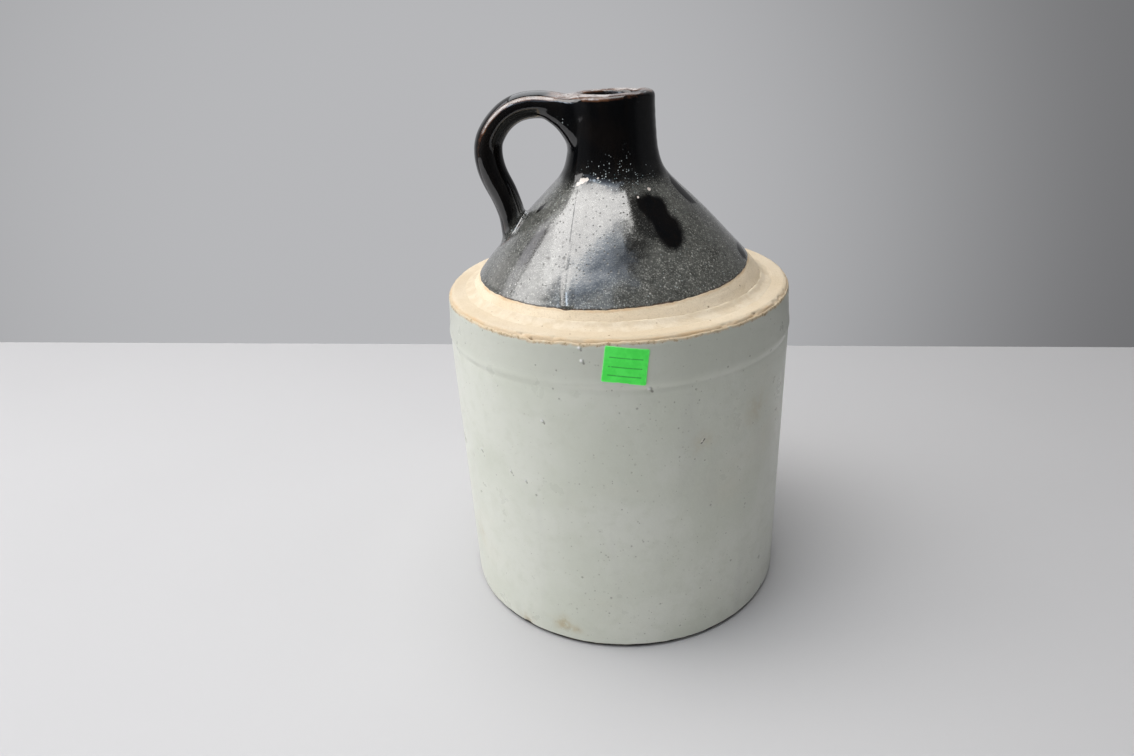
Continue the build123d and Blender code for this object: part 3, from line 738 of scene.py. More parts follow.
def build_white():
    az = columns(454, 0.95)[None, :]
    line = dense([(85.9, 0.30)] + CLAY_OUT[1:], blur=0.25)

    def gap(r, z):
        g = np.full_like(r, 0.93)
        g = np.where(z < 5, 0.40, g)
        g = np.where((z > 142.5) & (z < 150), 0.50, g)
        return np.where(z > 163.5, 0.26, g)
    cut = line[(line[:, 1] < 166.95)]
    s = rows_along(cut, gap)
    full = s[-1]
    lowest = 1.20 + 0.24 * loop_noise(az, 9, 11) + 0.12 * loop_noise(az, 2.5, 12) - 0.55 * bell(np.degrees(az) + 62, 22)
    lowest = lowest + 0.7 * bell(np.degrees(az) + 36.1, 2.2)
    highest = full - 0.95 + 0.42 * loop_noise(az, 11, 13) + 0.26 * loop_noise(az, 2.2, 14) + 0.14 * loop_noise(az, 1.1, 15)
    highest = highest - 0.75 * bell(np.degrees(az) + 25.5, 1.3) - 0.5 * bell(np.degrees(az) + 9, 3.0)
    sv = s[:, None] / full * (highest - lowest) + lowest
    r, z = at(line, sv)
    n = normals(line)
    t = arclen(line)
    nr, nz = np.interp(sv, t, n[:, 0]), np.interp(sv, t, n[:, 1])
    p = place(r, z, az)
    below, above = sv - lowest, highest - sv
    ends = np.minimum(below / 0.9, above / 1.1)
    round_off = np.sqrt(np.clip(1 - (1 - np.clip(ends, 0, 1)) ** 2, 0, 1))
    coat = 0.45 + 0.10 * bell(below - 1.4, 1.0) + 0.06 * bell(above - 2.2, 1.2)
    coat = coat + (0.22 * bell(z - 148.0, 1.5) - 0.38 * bell(z - 144.4, 1.5)) * (1 - 0.45 * step(-5, 40, np.degrees(az)))
    coat = coat + wall_relief(p, z, az)
    pit = np.zeros_like(p[..., 0])
    chip = np.zeros_like(pit)
    stain = np.zeros_like(pit)

    def near(a0, z0):
        da = (np.degrees(az) - a0 + 180) % 360 - 180
        return np.hypot(np.radians(da) * 87.0, z - z0)
    spots = list(PITS)
    rng = np.random.default_rng(77)
    for _ in range(70):                            # small flaws all round
        spots.append((rng.uniform(-180, 180), rng.uniform(6, 162), rng.uniform(0.55, 1.0), rng.uniform(0.05, 0.13)))
    for a0, z0, rad, depth in spots:
        q = near(a0, z0) / rad
        coat = coat - depth * np.exp(-1.5 * q ** 2) + 0.22 * depth * bell(q - 1.5, 0.5)
        pit = np.maximum(pit, np.exp(-1.6 * q ** 2) * min(1.0, depth / 0.25))
    for a0, z0, rad, depth in CHIPS:
        q = near(a0, z0) / rad * (1 + 0.25 * noise(p, 1.2, 21))
        coat = coat - depth * step(1.25, 0.75, q)
        chip = np.maximum(chip, step(1.35, 0.65, q))
    for a0, z0, rad, power in STAINS:
        q = near(a0, z0) / rad * (1 + 0.3 * noise(p, 4.0, 22))
        stain = np.maximum(stain, power * np.exp(-1.2 * q ** 2))
    coat = np.maximum(coat, 0.04) * round_off
    outer = place(r + nr * coat, z + nz * coat, az)
    ri, zi = at(line, np.linspace(1, 0, 9)[:, None] * (highest - lowest) + lowest)
    ni = np.linspace(1, 0, 9)[:, None] * (highest - lowest) + lowest
    deep = 0.18
    inner = place(ri - deep * np.interp(ni, t, n[:, 0]), zi - deep * np.interp(ni, t, n[:, 1]), az)
    rows = np.concatenate([outer, inner])
    rim = np.clip(step(3.4, 0.1, above) + 0.72 * step(1.3, 0.1, below), 0, 1)
    zero = np.zeros((9, az.shape[1]))
    masks = {"pit": np.r_[pit, zero], "chip": np.r_[chip, zero], "stain": np.r_[stain, zero],
             "rim": np.r_[rim, zero]}
    share = np.r_[np.diff(s), 0.8, np.full(8, 0.6), 0.8]
    return shell("pale_glaze_coat", rows, az[0], share, masks)


# ------------------------------------------------------------------ shoulder
EDGE_AZ = [-180, -150, -120, -85, -49, -34, -21, -6, 8, 24, 43, 60, 75, 110, 150, 180]
EDGE_Z = [176.0, 175.2, 174.4, 174.0, 174.0, 174.0, 174.1, 174.4, 174.9, 175.4, 176.4, 177.4, 178.3, 179.0, 177.6, 176.0]


def dark_edge_z(az):
    """Height of the dark glaze's lower edge round the jug."""
    a = np.degrees(az)
    x = np.array(EDGE_AZ, float)
    y = np.array(EDGE_Z, float)
    out = 0.0
    for k, w in ((-8, 0.25), (0, 0.5), (8, 0.25)):      # eased so that the edge has no corners
        out = out + w * np.interp((a + k + 180) % 360 - 180, x, y)
    return (out + 0.17 * loop_noise(az, 9, 31) + 0.11 * loop_noise(az, 3.2, 32)
            + 0.13 * loop_noise(az, 1.2, 33) - 0.35 * bell(a + 18.8, 1.5))


def clay_under(line):
    """Clay face below the dark coat: level with it at the bare band, a coat's depth under it above."""
    n = normals(line)
    off = 0.06 + 0.36 * step(173.0, 188.0, line[:, 1])
    off = off * step(168.2, 170.5, line[:, 1])
    return line - n * off[:, None]


CLAY_TOP = clay_under(SURFACE)


def handle_near(p):
    """0 close to the handle's two joints, 1 well away, so relief fades out there."""
    low = np.linalg.norm(p - [-50.4, 0, 195.0], axis=-1)
    high = np.hypot(np.hypot(p[..., 0] + 21, p[..., 1]), np.maximum(np.abs(p[..., 2] - 244) - 11, 0))
    return step(11.5, 19.0, low) * step(18.0, 24.0, high)


def build_shoulder_clay():
    az = columns(480, 0.6)[None, :]
    outer = CLAY_TOP[CLAY_TOP[:, 1] >= 167.6]

    def gap(r, z):
        g = np.full_like(r, 3.0)
        return np.where((z < 180) & (r > 60), 0.36, g)
    s = rows_along(outer, gap)
    r, z = (c[:, None] for c in at(outer, s))
    p = place(r, z, az)
    band = step(181.5, 179.5, z) * step(167.5, 168.4, z)
    lift = band * (0.07 * noise(p, 2.3, 41) + 0.10 * noise(p, 12, 42) + 0.035 * noise(p * [0.1, 0.1, 1], 0.9, 43))
    k = 0.74
    p = place(r + k * lift, z + 0.67 * lift, az)
    back = dense(INNER_TOP + [(66.5, 163.8), (74.0, 163.8), (74.0, 167.2)], blur=0)
    ends = np.r_[rows_along(back, lambda rr, zz: np.full_like(rr, 5.0))[:-1], arclen(back)[-1]]
    rb, zb = (c[:, None] for c in at(back, ends))
    rows = np.concatenate([p, place(rb, zb, az)])
    toast = np.r_[0.30 * step(2.6, 0.2, z - 167.6) + 0.62 * bell(z - dark_edge_z(az) + 0.5, 0.9)
                  + 0 * az, np.zeros((len(ends), az.shape[1]))]
    # dirt and painted shade: darker at the cone's foot in the groove, and a painted shade line just under the dark
    # coat's edge
    dirt_and_shade = np.r_[0.40 * step(168.9, 167.7, z) + 0.42 * bell(z - dark_edge_z(az) + 0.1, 0.55)
                 + 0 * az, np.zeros((len(ends), az.shape[1]))]
    share = np.r_[np.where(z[1:, 0] < 181, 0.5, 0.15), 0.3, np.full(len(ends) - 1, 0.2), 0.3]
    return shell("shoulder_clay", rows, az[0], share, {"toast": toast, "dirt_and_shade": dirt_and_shade})


# patches of the dark coat that stayed smooth, outlined in (az degrees, z)
TONGUE = [(9.0, 214.5), (28.3, 215.2), (38.3, 214.1), (40.1, 210.0), (38.3, 206.2), (40.9, 202.4),
          (39.6, 198.2), (36.5, 195.2), (31.2, 193.2), (27.1, 194.1), (22.5, 196.6), (17.0, 197.4),
          (11.5, 200.2), (9.0, 203.6)]
TONGUE_CORE = [(17.0, 209.6), (19.0, 213.6), (31.0, 213.8), (39.6, 211.4), (38.3, 206.2), (40.9, 202.4), (39.6, 198.2), (36.5, 195.2),
               (31.2, 193.2), (27.1, 194.1), (24.4, 198.0), (23.6, 203.4), (20.5, 207.2)]
VEIL = [(10.2, 202.1), (19.6, 199.3), (20.6, 195.6), (11.3, 190.6), (2.6, 186.5), (-6.4, 180.8),
        (-15.6, 177.2), (-23.0, 176.2), (-21.8, 180.2), (-18.4, 183.2), (-17.6, 188.5), (-11.6, 194.8),
        (-1.6, 199.7)]
LEAF = [(-37.3, 204.6), (-39.8, 201.0), (-40.4, 196.4), (-41.5, 192.1), (-43.4, 187.9), (-47.0, 185.8),
        (-52.2, 186.1), (-54.5, 189.7), (-53.9, 194.7), (-51.6, 199.0), (-46.0, 202.3)]
LENS_A = [(86.0, 221.0), (83.0, 214.7), (80.0, 208.8), (76.7, 204.9), (67.5, 206.7), (65.3, 210.6), (66.9, 215.8)]
LENS_B = [(86.2, 185.4), (86.8, 182.2), (80.0, 179.9), (74.0, 178.8), (72.3, 180.9), (74.7, 183.9)]
LEAFLET = [(-66.7, 204.9), (-69.3, 207.6), (-63.3, 209.9), (-62.4, 207.5)]
BACK_A = [(150, 205), (158, 196), (168, 190), (172, 198), (163, 208)]
BACK_B = [(-150, 190), (-141, 184), (-132, 188), (-136, 197), (-146, 200)]
SHEEN = [(-33.3, 219.2), (15.7, 217.7), (10.3, 202.5), (-11.6, 194.8), (-17.6, 188.5), (-18.4, 183.2),
         (-26.7, 175.3), (-44.3, 175.4), (-42.8, 189.6), (-41.3, 200.1), (-38.7, 208.6), (-33.6, 215.7)]
# burst bubbles and chips on the dark coat: (az, z, radius, depth)
BURSTS = [(-33.6, 220.4, 2.0, 0.06), (-28.6, 221.0, 1.0, 0.05), (-37.6, 219.0, 1.1, 0.05), (-16.6, 221.8, 0.7, 0.10),
          (33.6, 216.0, 1.0, 0.16), (20.3, 213.7, 0.55, 0.08), (120.0, 210.0, 1.2, 0.15), (-165.0, 200.0, 1.0, 0.15)]


RUN_Z = [174, 176.5, 182.7, 189.7, 198.7, 207.7, 215.7, 222]
RUN_AZ = [-18.2, -18.3, -20.4, -22.4, -24.1, -27.3, -33.6, -38]
RUN = [float(c) for c in np.polyfit((np.array(RUN_Z) - 195) / 20, np.radians(RUN_AZ), 3)]


def build_dark():
    az = columns(452, 0.95)[None, :]
    line, under = SURFACE, CLAY_TOP
    t = arclen(line)
    n = normals(line)
    climb = line[:, 1].copy()
    climb = np.maximum.accumulate(climb)
    start = np.interp(dark_edge_z(az), climb + np.arange(len(climb)) * 1e-9, t)
    full = t[-1]
    neck = np.interp(250.6, climb + np.arange(len(climb)) * 1e-9, t)
    lead = np.r_[0, np.cumsum(np.linspace(0.10, 0.75, 18))]
    mids = np.linspace(lead[-1], neck - np.median(start), 128)[1:]
    tail = np.linspace(neck, full, 40)[1:]
    base = np.r_[lead, mids]                      # from the edge up to the lip
    scale = (neck - start) / (neck - np.median(start))
    grow = np.clip((base / base[-1])[:, None], 0, 1)
    sv = np.concatenate([start + base[:, None] * (1 + (scale - 1) * step(0, 0.25, grow)),
                         tail[:, None] + 0 * az])
    r, z = (np.interp(sv, t, line[:, 0]), np.interp(sv, t, line[:, 1]))
    ru, zu = (np.interp(sv, t, under[:, 0]), np.interp(sv, t, under[:, 1]))
    nr, nz = np.interp(sv, t, n[:, 0]), np.interp(sv, t, n[:, 1])
    p = place(r, z, az)
    a = np.degrees(az) + 0 * z
    far = handle_near(p)
    d_edge = sv - start
    coat = np.interp(sv, t, np.hypot(*(line - under).T))
    thick = coat + 0.05 + (0.05 + 0.03 * loop_noise(az, 6, 34)) * bell(d_edge - 0.9, 0.9)
    thick = thick * np.sqrt(np.clip(1 - (1 - np.clip(d_edge / 0.40, 0, 1)) ** 2, 0, 1))
    # broad unevenness, a run down the front, faint turning on the neck
    relief = 0.055 * noise(p, 15, 51) + 0.030 * noise(p, 5.5, 52) + 0.05 * noise(p, 46, 53)
    run_az = np.degrees(np.polyval(RUN, (z - 195) / 20))
    across = np.radians(a - run_az) * r
    drip = 0.12 * bell(across, 1.5) * step(224, 214, z)
    drip = drip + 0.42 * np.clip((188 - z) / 12, 0, 1) * step(-3.4, -1.0, across) * step(3.6, 1.2, across)
    crease = step(5.0, 3.0, np.abs(across)) * step(221, 216, z) * step(182, 188, z)
    relief = relief + 0.035 * np.sin(z * 1.35 + 0.6 * loop_noise(az, 60, 54)) * step(226, 232, z) * step(252, 249, z)
    lip = step(249.5, 253.0, z)
    relief = relief + lip * (0.10 * noise(p, 8, 55) + 0.06 * noise(p, 3.2, 56))
    chip = np.zeros_like(z)
    for a0, z0, rad, depth in BURSTS:
        da = (a - a0 + 180) % 360 - 180
        q = np.hypot(np.radians(da) * r, (z - z0) * 1.38) / rad * (1 + 0.3 * noise(p, 1.6, 57))
        relief = relief - depth * np.exp(-1.3 * q ** 2) + depth * 0.8 * bell(q - 1.25, 0.35)
        chip = np.maximum(chip, step(1.25, 0.55, q))
    thick = thick + relief * far * step(0.2, 7.0, d_edge) + drip * step(0.1, 1.6, d_edge)
    thick = np.maximum(thick, 0.03) - 0.05 * (d_edge < 1e-6)
    keep = step(full, full - 2.5, sv)             # meet the liner inside the mouth
    thick = coat + (thick - coat) * np.where(sv > neck, keep, 1)
    # the lip is not quite level
    rise = 0.40 * bell(a - 85, 30) - 0.30 * bell(a - 130, 16) + 0.22 * loop_noise(az, 40, 59)
    rise = rise * step(249, 255.5, z) * step(12.3, 15.5, r) * np.clip(far, 0.15, 1)
    outer = place(ru + nr * thick, zu + nz * thick + rise, az)
    ks = np.linspace(1, 0, 18)[:, None]
    si = ks * (full - start) + start
    inner = place(np.interp(si, t, under[:, 0]) - 0.14 * np.interp(si, t, n[:, 0]),
                  np.interp(si, t, under[:, 1]) - 0.14 * np.interp(si, t, n[:, 1]), az)
    rows = np.concatenate([outer, inner])
    # frosted crystals over the cone, fewer up the neck, none in the smooth patches
    frost = 0.92 * step(222.0, 213.0, z) + 0.16 * step(234, 220, z) * step(212, 220, z)
    frost = frost * (0.92 + 0.16 * noise(p, 18, 61))
    smooth = np.ones_like(z)
    for patch, soft, keep_f in ((TONGUE, 4.6, 0.26), (TONGUE_CORE, 2.8, 0.02), (VEIL, 6.0, 0.42), (LEAF, 2.0, 0.34), (LENS_A, 0.8, 0.03),
                                (LENS_B, 0.8, 0.03), (LEAFLET, 0.6, 0.03), (BACK_A, 3.2, 0.10), (BACK_B, 3.6, 0.16),
                                (SHEEN, 2.5, 0.52)):
        mid = np.mean(np.array(patch)[:, 1])
        rad = np.interp(mid, CONE_Z, CONE_R)
        d = side_of(patch, az + 0 * z, z + 0 * az, rad) + 0.5 * noise(p, 2.6, 62)
        if patch is BACK_A or patch is BACK_B:
            d = d + 2.4 * noise(p, 7.5, 69)
        if patch is TONGUE_CORE:
            d = d - 1.3
        smooth = np.minimum(smooth, keep_f + (1 - keep_f) * step(-soft, soft, d))
    frost = frost * smooth
    frost = frost * (1 - 0.20 * bell(d_edge - 0.2, 0.6))
    frost = frost * (1 - 0.34 * bell(a - 6, 10) * bell(z - 189, 9))
    frost = frost + (0.34 * step(203, 184, z) * bell(a + 32, 9) + 0.36 * step(200, 181, z) * bell(a + 61, 15)) * step(0.5, 3, d_edge)
    # painted glints of bubbles round the neck's base and up the neck
    painted_glint = 0.80 * bell(z - 221.4, 5.8) * bell(a - 4, 38) + 0.13 * bell(z - 231, 9) * bell(a - 8, 50) + 0 * z
    # thin glaze: the lower edge line, the lip, and the mouth
    thin_glaze_and_highlight = 0.92 * step(0.8, 0.05, d_edge) * (0.75 + 0.5 * loop_noise(az, 1.3, 68)) + 0.35 * step(2.2, 0.3, d_edge) * step(25, 62, a) * (loop_noise(az, 4, 63) > -0.1)
    lip_edge = bell(np.hypot(r - 20.0, z - 255.2), 1.15)
    # painted highlight: the lip edge runs to pink-white at its front-left, where the lamps catch it
    tone = 0.50 + 0.55 * bell(a + 30, 20) + 0.22 * bell(a - 2, 9) + 0.30 * step(100, 150, np.abs(a))
    thin_glaze_and_highlight = np.maximum(thin_glaze_and_highlight, lip_edge * (tone + 0.25 * loop_noise(az, 24, 64) + 0.22 * loop_noise(az, 5, 65)))
    thin_glaze_and_highlight = np.maximum(thin_glaze_and_highlight, 0.40 * step(254.6, 256.2, z) * (1 + 0.6 * noise(p, 5, 66)))
    thin_glaze_and_highlight = np.maximum(thin_glaze_and_highlight, 0.42 * bell(np.hypot(r - 13.6, z - 255.5), 1.1))
    worn = step(255.3, 256.2, z) * step(13.2, 14.4, r) * step(20.0, 19.0, r) * (1 - 0.70 * bell(a - 48, 30))
    thin_glaze_and_highlight = np.maximum(thin_glaze_and_highlight, 0.95 * worn * (1 + 0.30 * noise(p, 4, 67)))
    zero = np.zeros((18, az.shape[1]))
    masks = {"frost": np.r_[np.clip(frost, 0, 1.3), zero], "thin_glaze_and_highlight": np.r_[np.clip(thin_glaze_and_highlight, 0, 1.3), zero],
             "chip": np.r_[chip, zero], "crease": np.r_[crease, zero], "painted_glint": np.r_[painted_glint, zero]}
    share = np.r_[np.diff(np.median(sv, axis=1)), 0.4, np.full(17, 0.4), 0.4]
    return shell("dark_glaze_coat", rows, az[0], np.maximum(share, 0.05), masks)


CONE_Z = np.array([c[1] for c in CONE])
CONE_R = np.array([c[0] for c in CONE])


# ------------------------------------------------------------------ liner and seam
def build_liner():
    az = columns(200, 0.0)[None, :]
    outside = dense([(3.0, 9.0)] + INNER_BODY[:-1] + [(66.5, 163.8)] + INNER_TOP[-2::-1], blur=0)
    t = arclen(outside)
    n = normals(outside)

    def gap(r, z):
        return np.where((z > 222) & (r < 14), 0.9, 4.0)
    s = rows_along(outside, gap)
    r, z = (c[:, None] for c in at(outside, s))
    inside_s = s[::-1]
    ri, zi = (c[:, None] for c in at(outside, inside_s))
    # the line climbs the inside of the jug, so its other side faces the hollow
    mr, mz = np.interp(inside_s, t, n[:, 0])[:, None], np.interp(inside_s, t, n[:, 1])[:, None]
    p = place(ri - 0.4 * mr, zi - 0.4 * mz, az)
    wav = 0.12 * noise(p, 7, 71) * step(0, 4, s[-1] - inside_s)[:, None]
    inner = place(ri - (0.4 + wav) * mr, zi - (0.4 + wav) * mz, az)
    rows = np.concatenate([place(r, z, az), inner])
    share = np.r_[np.full(len(s) - 1, 0.2), 0.3, np.full(len(s) - 1, 1.0)]
    return lathe("liner_coat", rows, az[0], share, 9.0, 9.4)


def build_slip():
    az = columns(420, 0.6)[None, :]
    ring = [(66.5, 163.2), (74.6, 163.2), (74.62, 166.4), (78.6, 167.0), (77.5, 167.62), (76.7, 167.86), (75.9, 168.06),
            (75.1, 168.30), (74.3, 168.62), (73.6, 169.04), (72.95, 169.56), (72.25, 170.10), (71.3, 170.60), (72.3, 168.6),
            (73.9, 167.0), (74.0, 164.4), (73.9, 163.8), (66.5, 163.8)]
    r, z = (np.array(c)[:, None] for c in zip(*ring))
    p = place(r, z, az)
    show = (z > 167.84) & (z < 170.3) & (r + 0.77 * z > 202.6)
    swell = show * (0.07 * loop_noise(az, 7, 81) + 0.04 * loop_noise(az, 2.4, 82) + 0.05 * noise(p, 1.6, 83) - 0.03)
    rows = place(r + 0.5 * swell, z + swell, az)
    share = np.r_[0.3, 0.3, 0.3, 0.5, 0.6, 0.6, 0.6, 0.6, 0.6, 0.6, 0.6, 0.6, 0.5, 0.3, 0.3, 0.3, 0.3, 0.3]
    return shell("seam_slip_ring", rows, az[0], share)


# ------------------------------------------------------------------ handle
# centre line in the XZ plane with half thickness and half width
HANDLE = np.array([
    (-10.0, 247.4, 6.2, 10.6), (-18.0, 249.6, 6.1, 9.9), (-22.5, 250.8, 6.05, 9.3), (-26.6, 251.7, 6.05, 8.8), (-31.7, 252.5, 6.1, 8.4),
    (-36.9, 252.7, 6.1, 8.2), (-41.0, 252.3, 6.15, 8.2), (-44.8, 251.3, 6.15, 8.2), (-48.3, 249.6, 6.2, 8.25), (-51.4, 247.4, 6.25, 8.3),
    (-54.5, 244.4, 6.4, 8.3), (-57.0, 241.0, 6.5, 8.35), (-58.7, 237.8, 6.6, 8.4), (-59.55, 234.2, 6.7, 8.4),
    (-59.7, 230.4, 6.75, 8.4), (-59.2, 226.1, 6.75, 8.4), (-58.1, 221.8, 6.75, 8.4), (-56.5, 217.7, 6.75, 8.4),
    (-54.5, 213.2, 6.7, 8.4), (-52.4, 207.6, 6.6, 8.5), (-50.9, 202.2, 6.5, 8.8), (-50.2, 197.2, 6.5, 9.2), (-49.6, 187.0, 6.6, 9.5)])


def build_handle():
    path = spline(HANDLE[:, :2], 0.25)
    s = arclen(path)
    near = ((path[None] - HANDLE[:, None, :2]) ** 2).sum(-1).argmin(1)
    half_t = np.interp(s, s[near], HANDLE[:, 2])
    half_w = np.interp(s, s[near], HANDLE[:, 3])
    tang = np.gradient(path, axis=0)
    tang /= np.linalg.norm(tang, axis=1)[:, None]
    side = np.c_[tang[:, 1], -tang[:, 0]]          # towards the outside of the loop
    if side[len(side) // 2][0] > 0:
        side = -side

    # distance to the glazed shoulder on a fine (r, z) table
    rs, zs = np.arange(0, 84, 0.3), np.arange(170, 266, 0.3)
    gr, gz = np.meshgrid(rs, zs, indexing="ij")
    out = np.concatenate([SURFACE[::6][SURFACE[::6][:, 0] >= 16.4], [(7.0, TOP_Z), (0.0, TOP_Z)]])
    best = np.full(gr.shape, 1e9)
    for k in range(len(out) - 1):
        ax, az_, bx, bz = out[k][0], out[k][1], out[k + 1][0], out[k + 1][1]
        ex, ez = bx - ax, bz - az_
        f = np.clip(((gr - ax) * ex + (gz - az_) * ez) / (ex * ex + ez * ez + 1e-12), 0, 1)
        best = np.minimum(best, np.hypot(gr - ax - f * ex, gz - az_ - f * ez))
    climb = np.maximum.accumulate(out[:, 1]) + np.arange(len(out)) * 1e-6
    within = (gr < np.interp(gz, climb, out[:, 0])) & (gz < TOP_Z)
    table = np.where(within, -best, best)

    def shoulder(x, y, z):
        r = np.hypot(x, y)
        fr, fz = np.clip(r / 0.3, 0, len(rs) - 1.001), np.clip((z - 170) / 0.3, 0, len(zs) - 1.001)
        i, j = fr.astype(int), fz.astype(int)
        u, v = fr - i, fz - j
        return ((1 - u) * (1 - v) * table[i, j] + u * (1 - v) * table[i + 1, j]
                + (1 - u) * v * table[i, j + 1] + u * v * table[i + 1, j + 1])

    def along(x, z):
        d = (x.ravel()[:, None] - path[None, :, 0]) ** 2 + (z.ravel()[:, None] - path[None, :, 1]) ** 2
        k = d.argmin(1)
        dx, dz = x.ravel() - path[k, 0], z.ravel() - path[k, 1]
        f = dx * tang[k, 0] + dz * tang[k, 1]
        sk = np.clip(s[k] + np.clip(f, -0.3, 0.3), 0, s[-1])
        over = np.maximum(np.abs(f) - 0.3, 0)
        return (dx * side[k, 0] + dz * side[k, 1]).reshape(x.shape), sk.reshape(x.shape), over.reshape(x.shape)

    def bar(u, sk, y):
        a, b = np.interp(sk, s, half_t), np.interp(sk, s, half_w)
        th = np.arctan2(y / b, u / a)
        # flattened oval with two soft ridges pulled along it, and finger unevenness
        k = 1 + 0.022 * np.cos(4 * th) - 0.018 * bell(np.abs(th) - 2.05, 0.30) + 0.026 * bell(np.abs(th) - 1.55, 0.20)
        k = k + 0.024 * bell(np.abs(th) - 0.98, 0.30)
        m = np.sqrt((u / a) ** 2 + (y / b) ** 2)
        grad = np.sqrt((u / a ** 2) ** 2 + (y / b ** 2) ** 2) / np.maximum(m, 1e-6)
        oval = (m - k) / np.maximum(grad, 0.05)
        # its outer face falls away straight from a soft crest
        roof = 0.94 * (u - 1.022 * a) + 0.342 * (np.sqrt(y * y + 1.7) - 1.304)
        roof = roof - 1.4 * step(240, 216, np.interp(sk, s, path[:, 1]))
        q = np.clip(0.5 - np.abs(oval - roof), 0, None)
        return np.maximum(oval, roof) + q * q / 2

    def field(x, y, z, u, sk, over):
        p = np.stack(np.broadcast_arrays(x, y, z), -1)
        h = bar(u, sk, y) + over * 0.5
        h = h - 0.13 * noise(p, 13, 91) - 0.05 * noise(p, 5, 92)
        # clay worked in round the upper joint: flared sides, and a web below that follows the neck round
        arc = 23.9 - np.hypot(44.5 - np.hypot(x, y), z - 226.4)
        roof = np.interp(x, [-37, -32, -26.6, -22.5, -18.0, -10.0], [254.6, 255.8, 256.2, 255.7, 255.0, 254.0])
        flat = np.maximum(np.maximum(arc, z - roof), np.maximum(-(x + 36.0), 228.0 - z))
        wide = 0.93 * (np.abs(y) - np.interp(x, [-37, -33, -26.6, -20.0, -10.0], [5.6, 7.2, 9.7, 12.4, 16.0]))
        web = np.hypot(np.maximum(flat + 3.2, 0), np.maximum(wide + 3.2, 0)) + np.minimum(np.maximum(flat, wide) + 3.2, 0) - 3.2
        web = web - 0.20 * noise(p, 8, 97) - 0.08 * noise(p, 3.4, 96)
        q = np.clip(1.6 - np.abs(h - web), 0, None) / 1.6
        h = np.minimum(h, web) - q * q * 1.6 / 4
        f = shoulder(x, y, z) - 0.05
        # joints worked in with a rounded corner
        up = step(214, 226, z)
        k = 2.6 * (1 - up) + up * (0.8 + 1.2 * step(243, 250, z))
        blend = np.maximum(k, np.minimum(h, f)) - np.hypot(np.maximum(k - h, 0), np.maximum(k - f, 0))
        reach = k - np.sqrt(0.012 * k) + 0.2
        body = np.maximum(np.maximum(blend + 0.006, -(f + 1.3)), h - reach)
        return np.maximum(body, 15.6 - np.hypot(x, y))     # nothing of it inside the mouth

    gap = 0.46
    xs, ys, zz = np.arange(-70, -3.5, gap), np.arange(-21.5, 21.6, gap), np.arange(181, 263, gap)
    gx, gz2 = np.meshgrid(xs, zz, indexing="ij")
    u, sk, over = [], [], []
    for part in np.array_split(np.arange(len(xs)), 8):
        a, b, c = along(gx[part], gz2[part])
        u.append(a), sk.append(b), over.append(c)
    u, sk, over = (np.concatenate(c)[:, None, :] for c in (u, sk, over))
    x3, y3, z3 = xs[:, None, None], ys[None, :, None], zz[None, None, :]
    x3, y3, z3 = np.broadcast_arrays(x3, y3, z3)
    vol = field(x3, y3, z3, u + 0 * y3, sk + 0 * y3, over + 0 * y3)
    verts, faces = surface_nets(close_corners(vol), np.array([xs[0], ys[0], zz[0]]), gap)

    def value(p):
        a, b, c = along(p[:, 0], p[:, 2])
        return field(p[:, 0], p[:, 1], p[:, 2], a, b, c)
    for _ in range(2):                              # settle the points on the surface
        f0 = value(verts)
        grad = np.stack([(value(verts + d) - value(verts - d)) / 0.2
                         for d in np.eye(3) * 0.1], -1)
        size = np.maximum((grad ** 2).sum(-1), 0.3)
        verts = verts - np.clip(f0 / size, -0.25, 0.25)[:, None] * grad
    a, b, c = along(verts[:, 0], verts[:, 2])
    ha, hb = np.interp(b, s, half_t), np.interp(b, s, half_w)
    th = np.abs(np.arctan2(verts[:, 1] / hb, a / ha))
    on_cone = shoulder(verts[:, 0], verts[:, 1], verts[:, 2])
    ridge = bell(th - 0.95, 0.26)
    thin_glaze_and_highlight = (0.42 * ridge + 0.22 * bell(th - 1.75, 0.16)) * (0.65 + 0.55 * noise(verts, 12, 93)) * step(0.5, 4, on_cone)
    # more brown along the ridges of the upper arch, partly a painted sheen
    thin_glaze_and_highlight = thin_glaze_and_highlight + 0.32 * bell(th - 0.95, 0.3) * step(-20, -38, verts[:, 0]) * step(246, 252, verts[:, 2])
    worn = step(-38, -20, verts[:, 0]) * step(254.4, 255.8, verts[:, 2])
    thin_glaze_and_highlight = np.maximum(thin_glaze_and_highlight, 1.0 * worn * (1 + 0.30 * noise(verts, 3.5, 98)))
    # painted highlight: a pink-white line along the crest of the upper arch
    crest_highlight = bell(th - 1.0, 0.17) * step(232, 246, verts[:, 2]) * step(-22, -28, verts[:, 0])
    thin_glaze_and_highlight = np.maximum(thin_glaze_and_highlight, 1.38 * crest_highlight * (0.92 + 0.26 * noise(verts, 6, 99)))
    joint = step(1.6, 0.2, on_cone) * step(206, 202, verts[:, 2])
    thin_glaze_and_highlight = np.maximum(thin_glaze_and_highlight, joint * (0.55 + 0.5 * noise(verts, 4, 94)) * step(-2, -9, verts[:, 1]))
    frost = 0.50 * step(7, 0.5, on_cone) * step(214, 204, verts[:, 2]) * (0.7 + 0.5 * noise(verts, 4, 95))
    frost = frost + 0.10 * np.clip(noise(verts, 9, 96), 0, 1)
    # painted glints at the lower joint and beside the upper joint
    return make("loop_handle", verts, faces, None,
                {"thin_glaze_and_highlight": np.clip(thin_glaze_and_highlight, 0, 1.5), "frost": np.clip(frost, 0, 1), "chip": 0 * th, "crease": 0 * th,
                 "painted_glint": 0.8 * step(5, 1, on_cone) * step(206, 200, verts[:, 2]) + 0.5 * bell(verts[:, 0] + 24, 4) * bell(verts[:, 2] - 246, 4)})


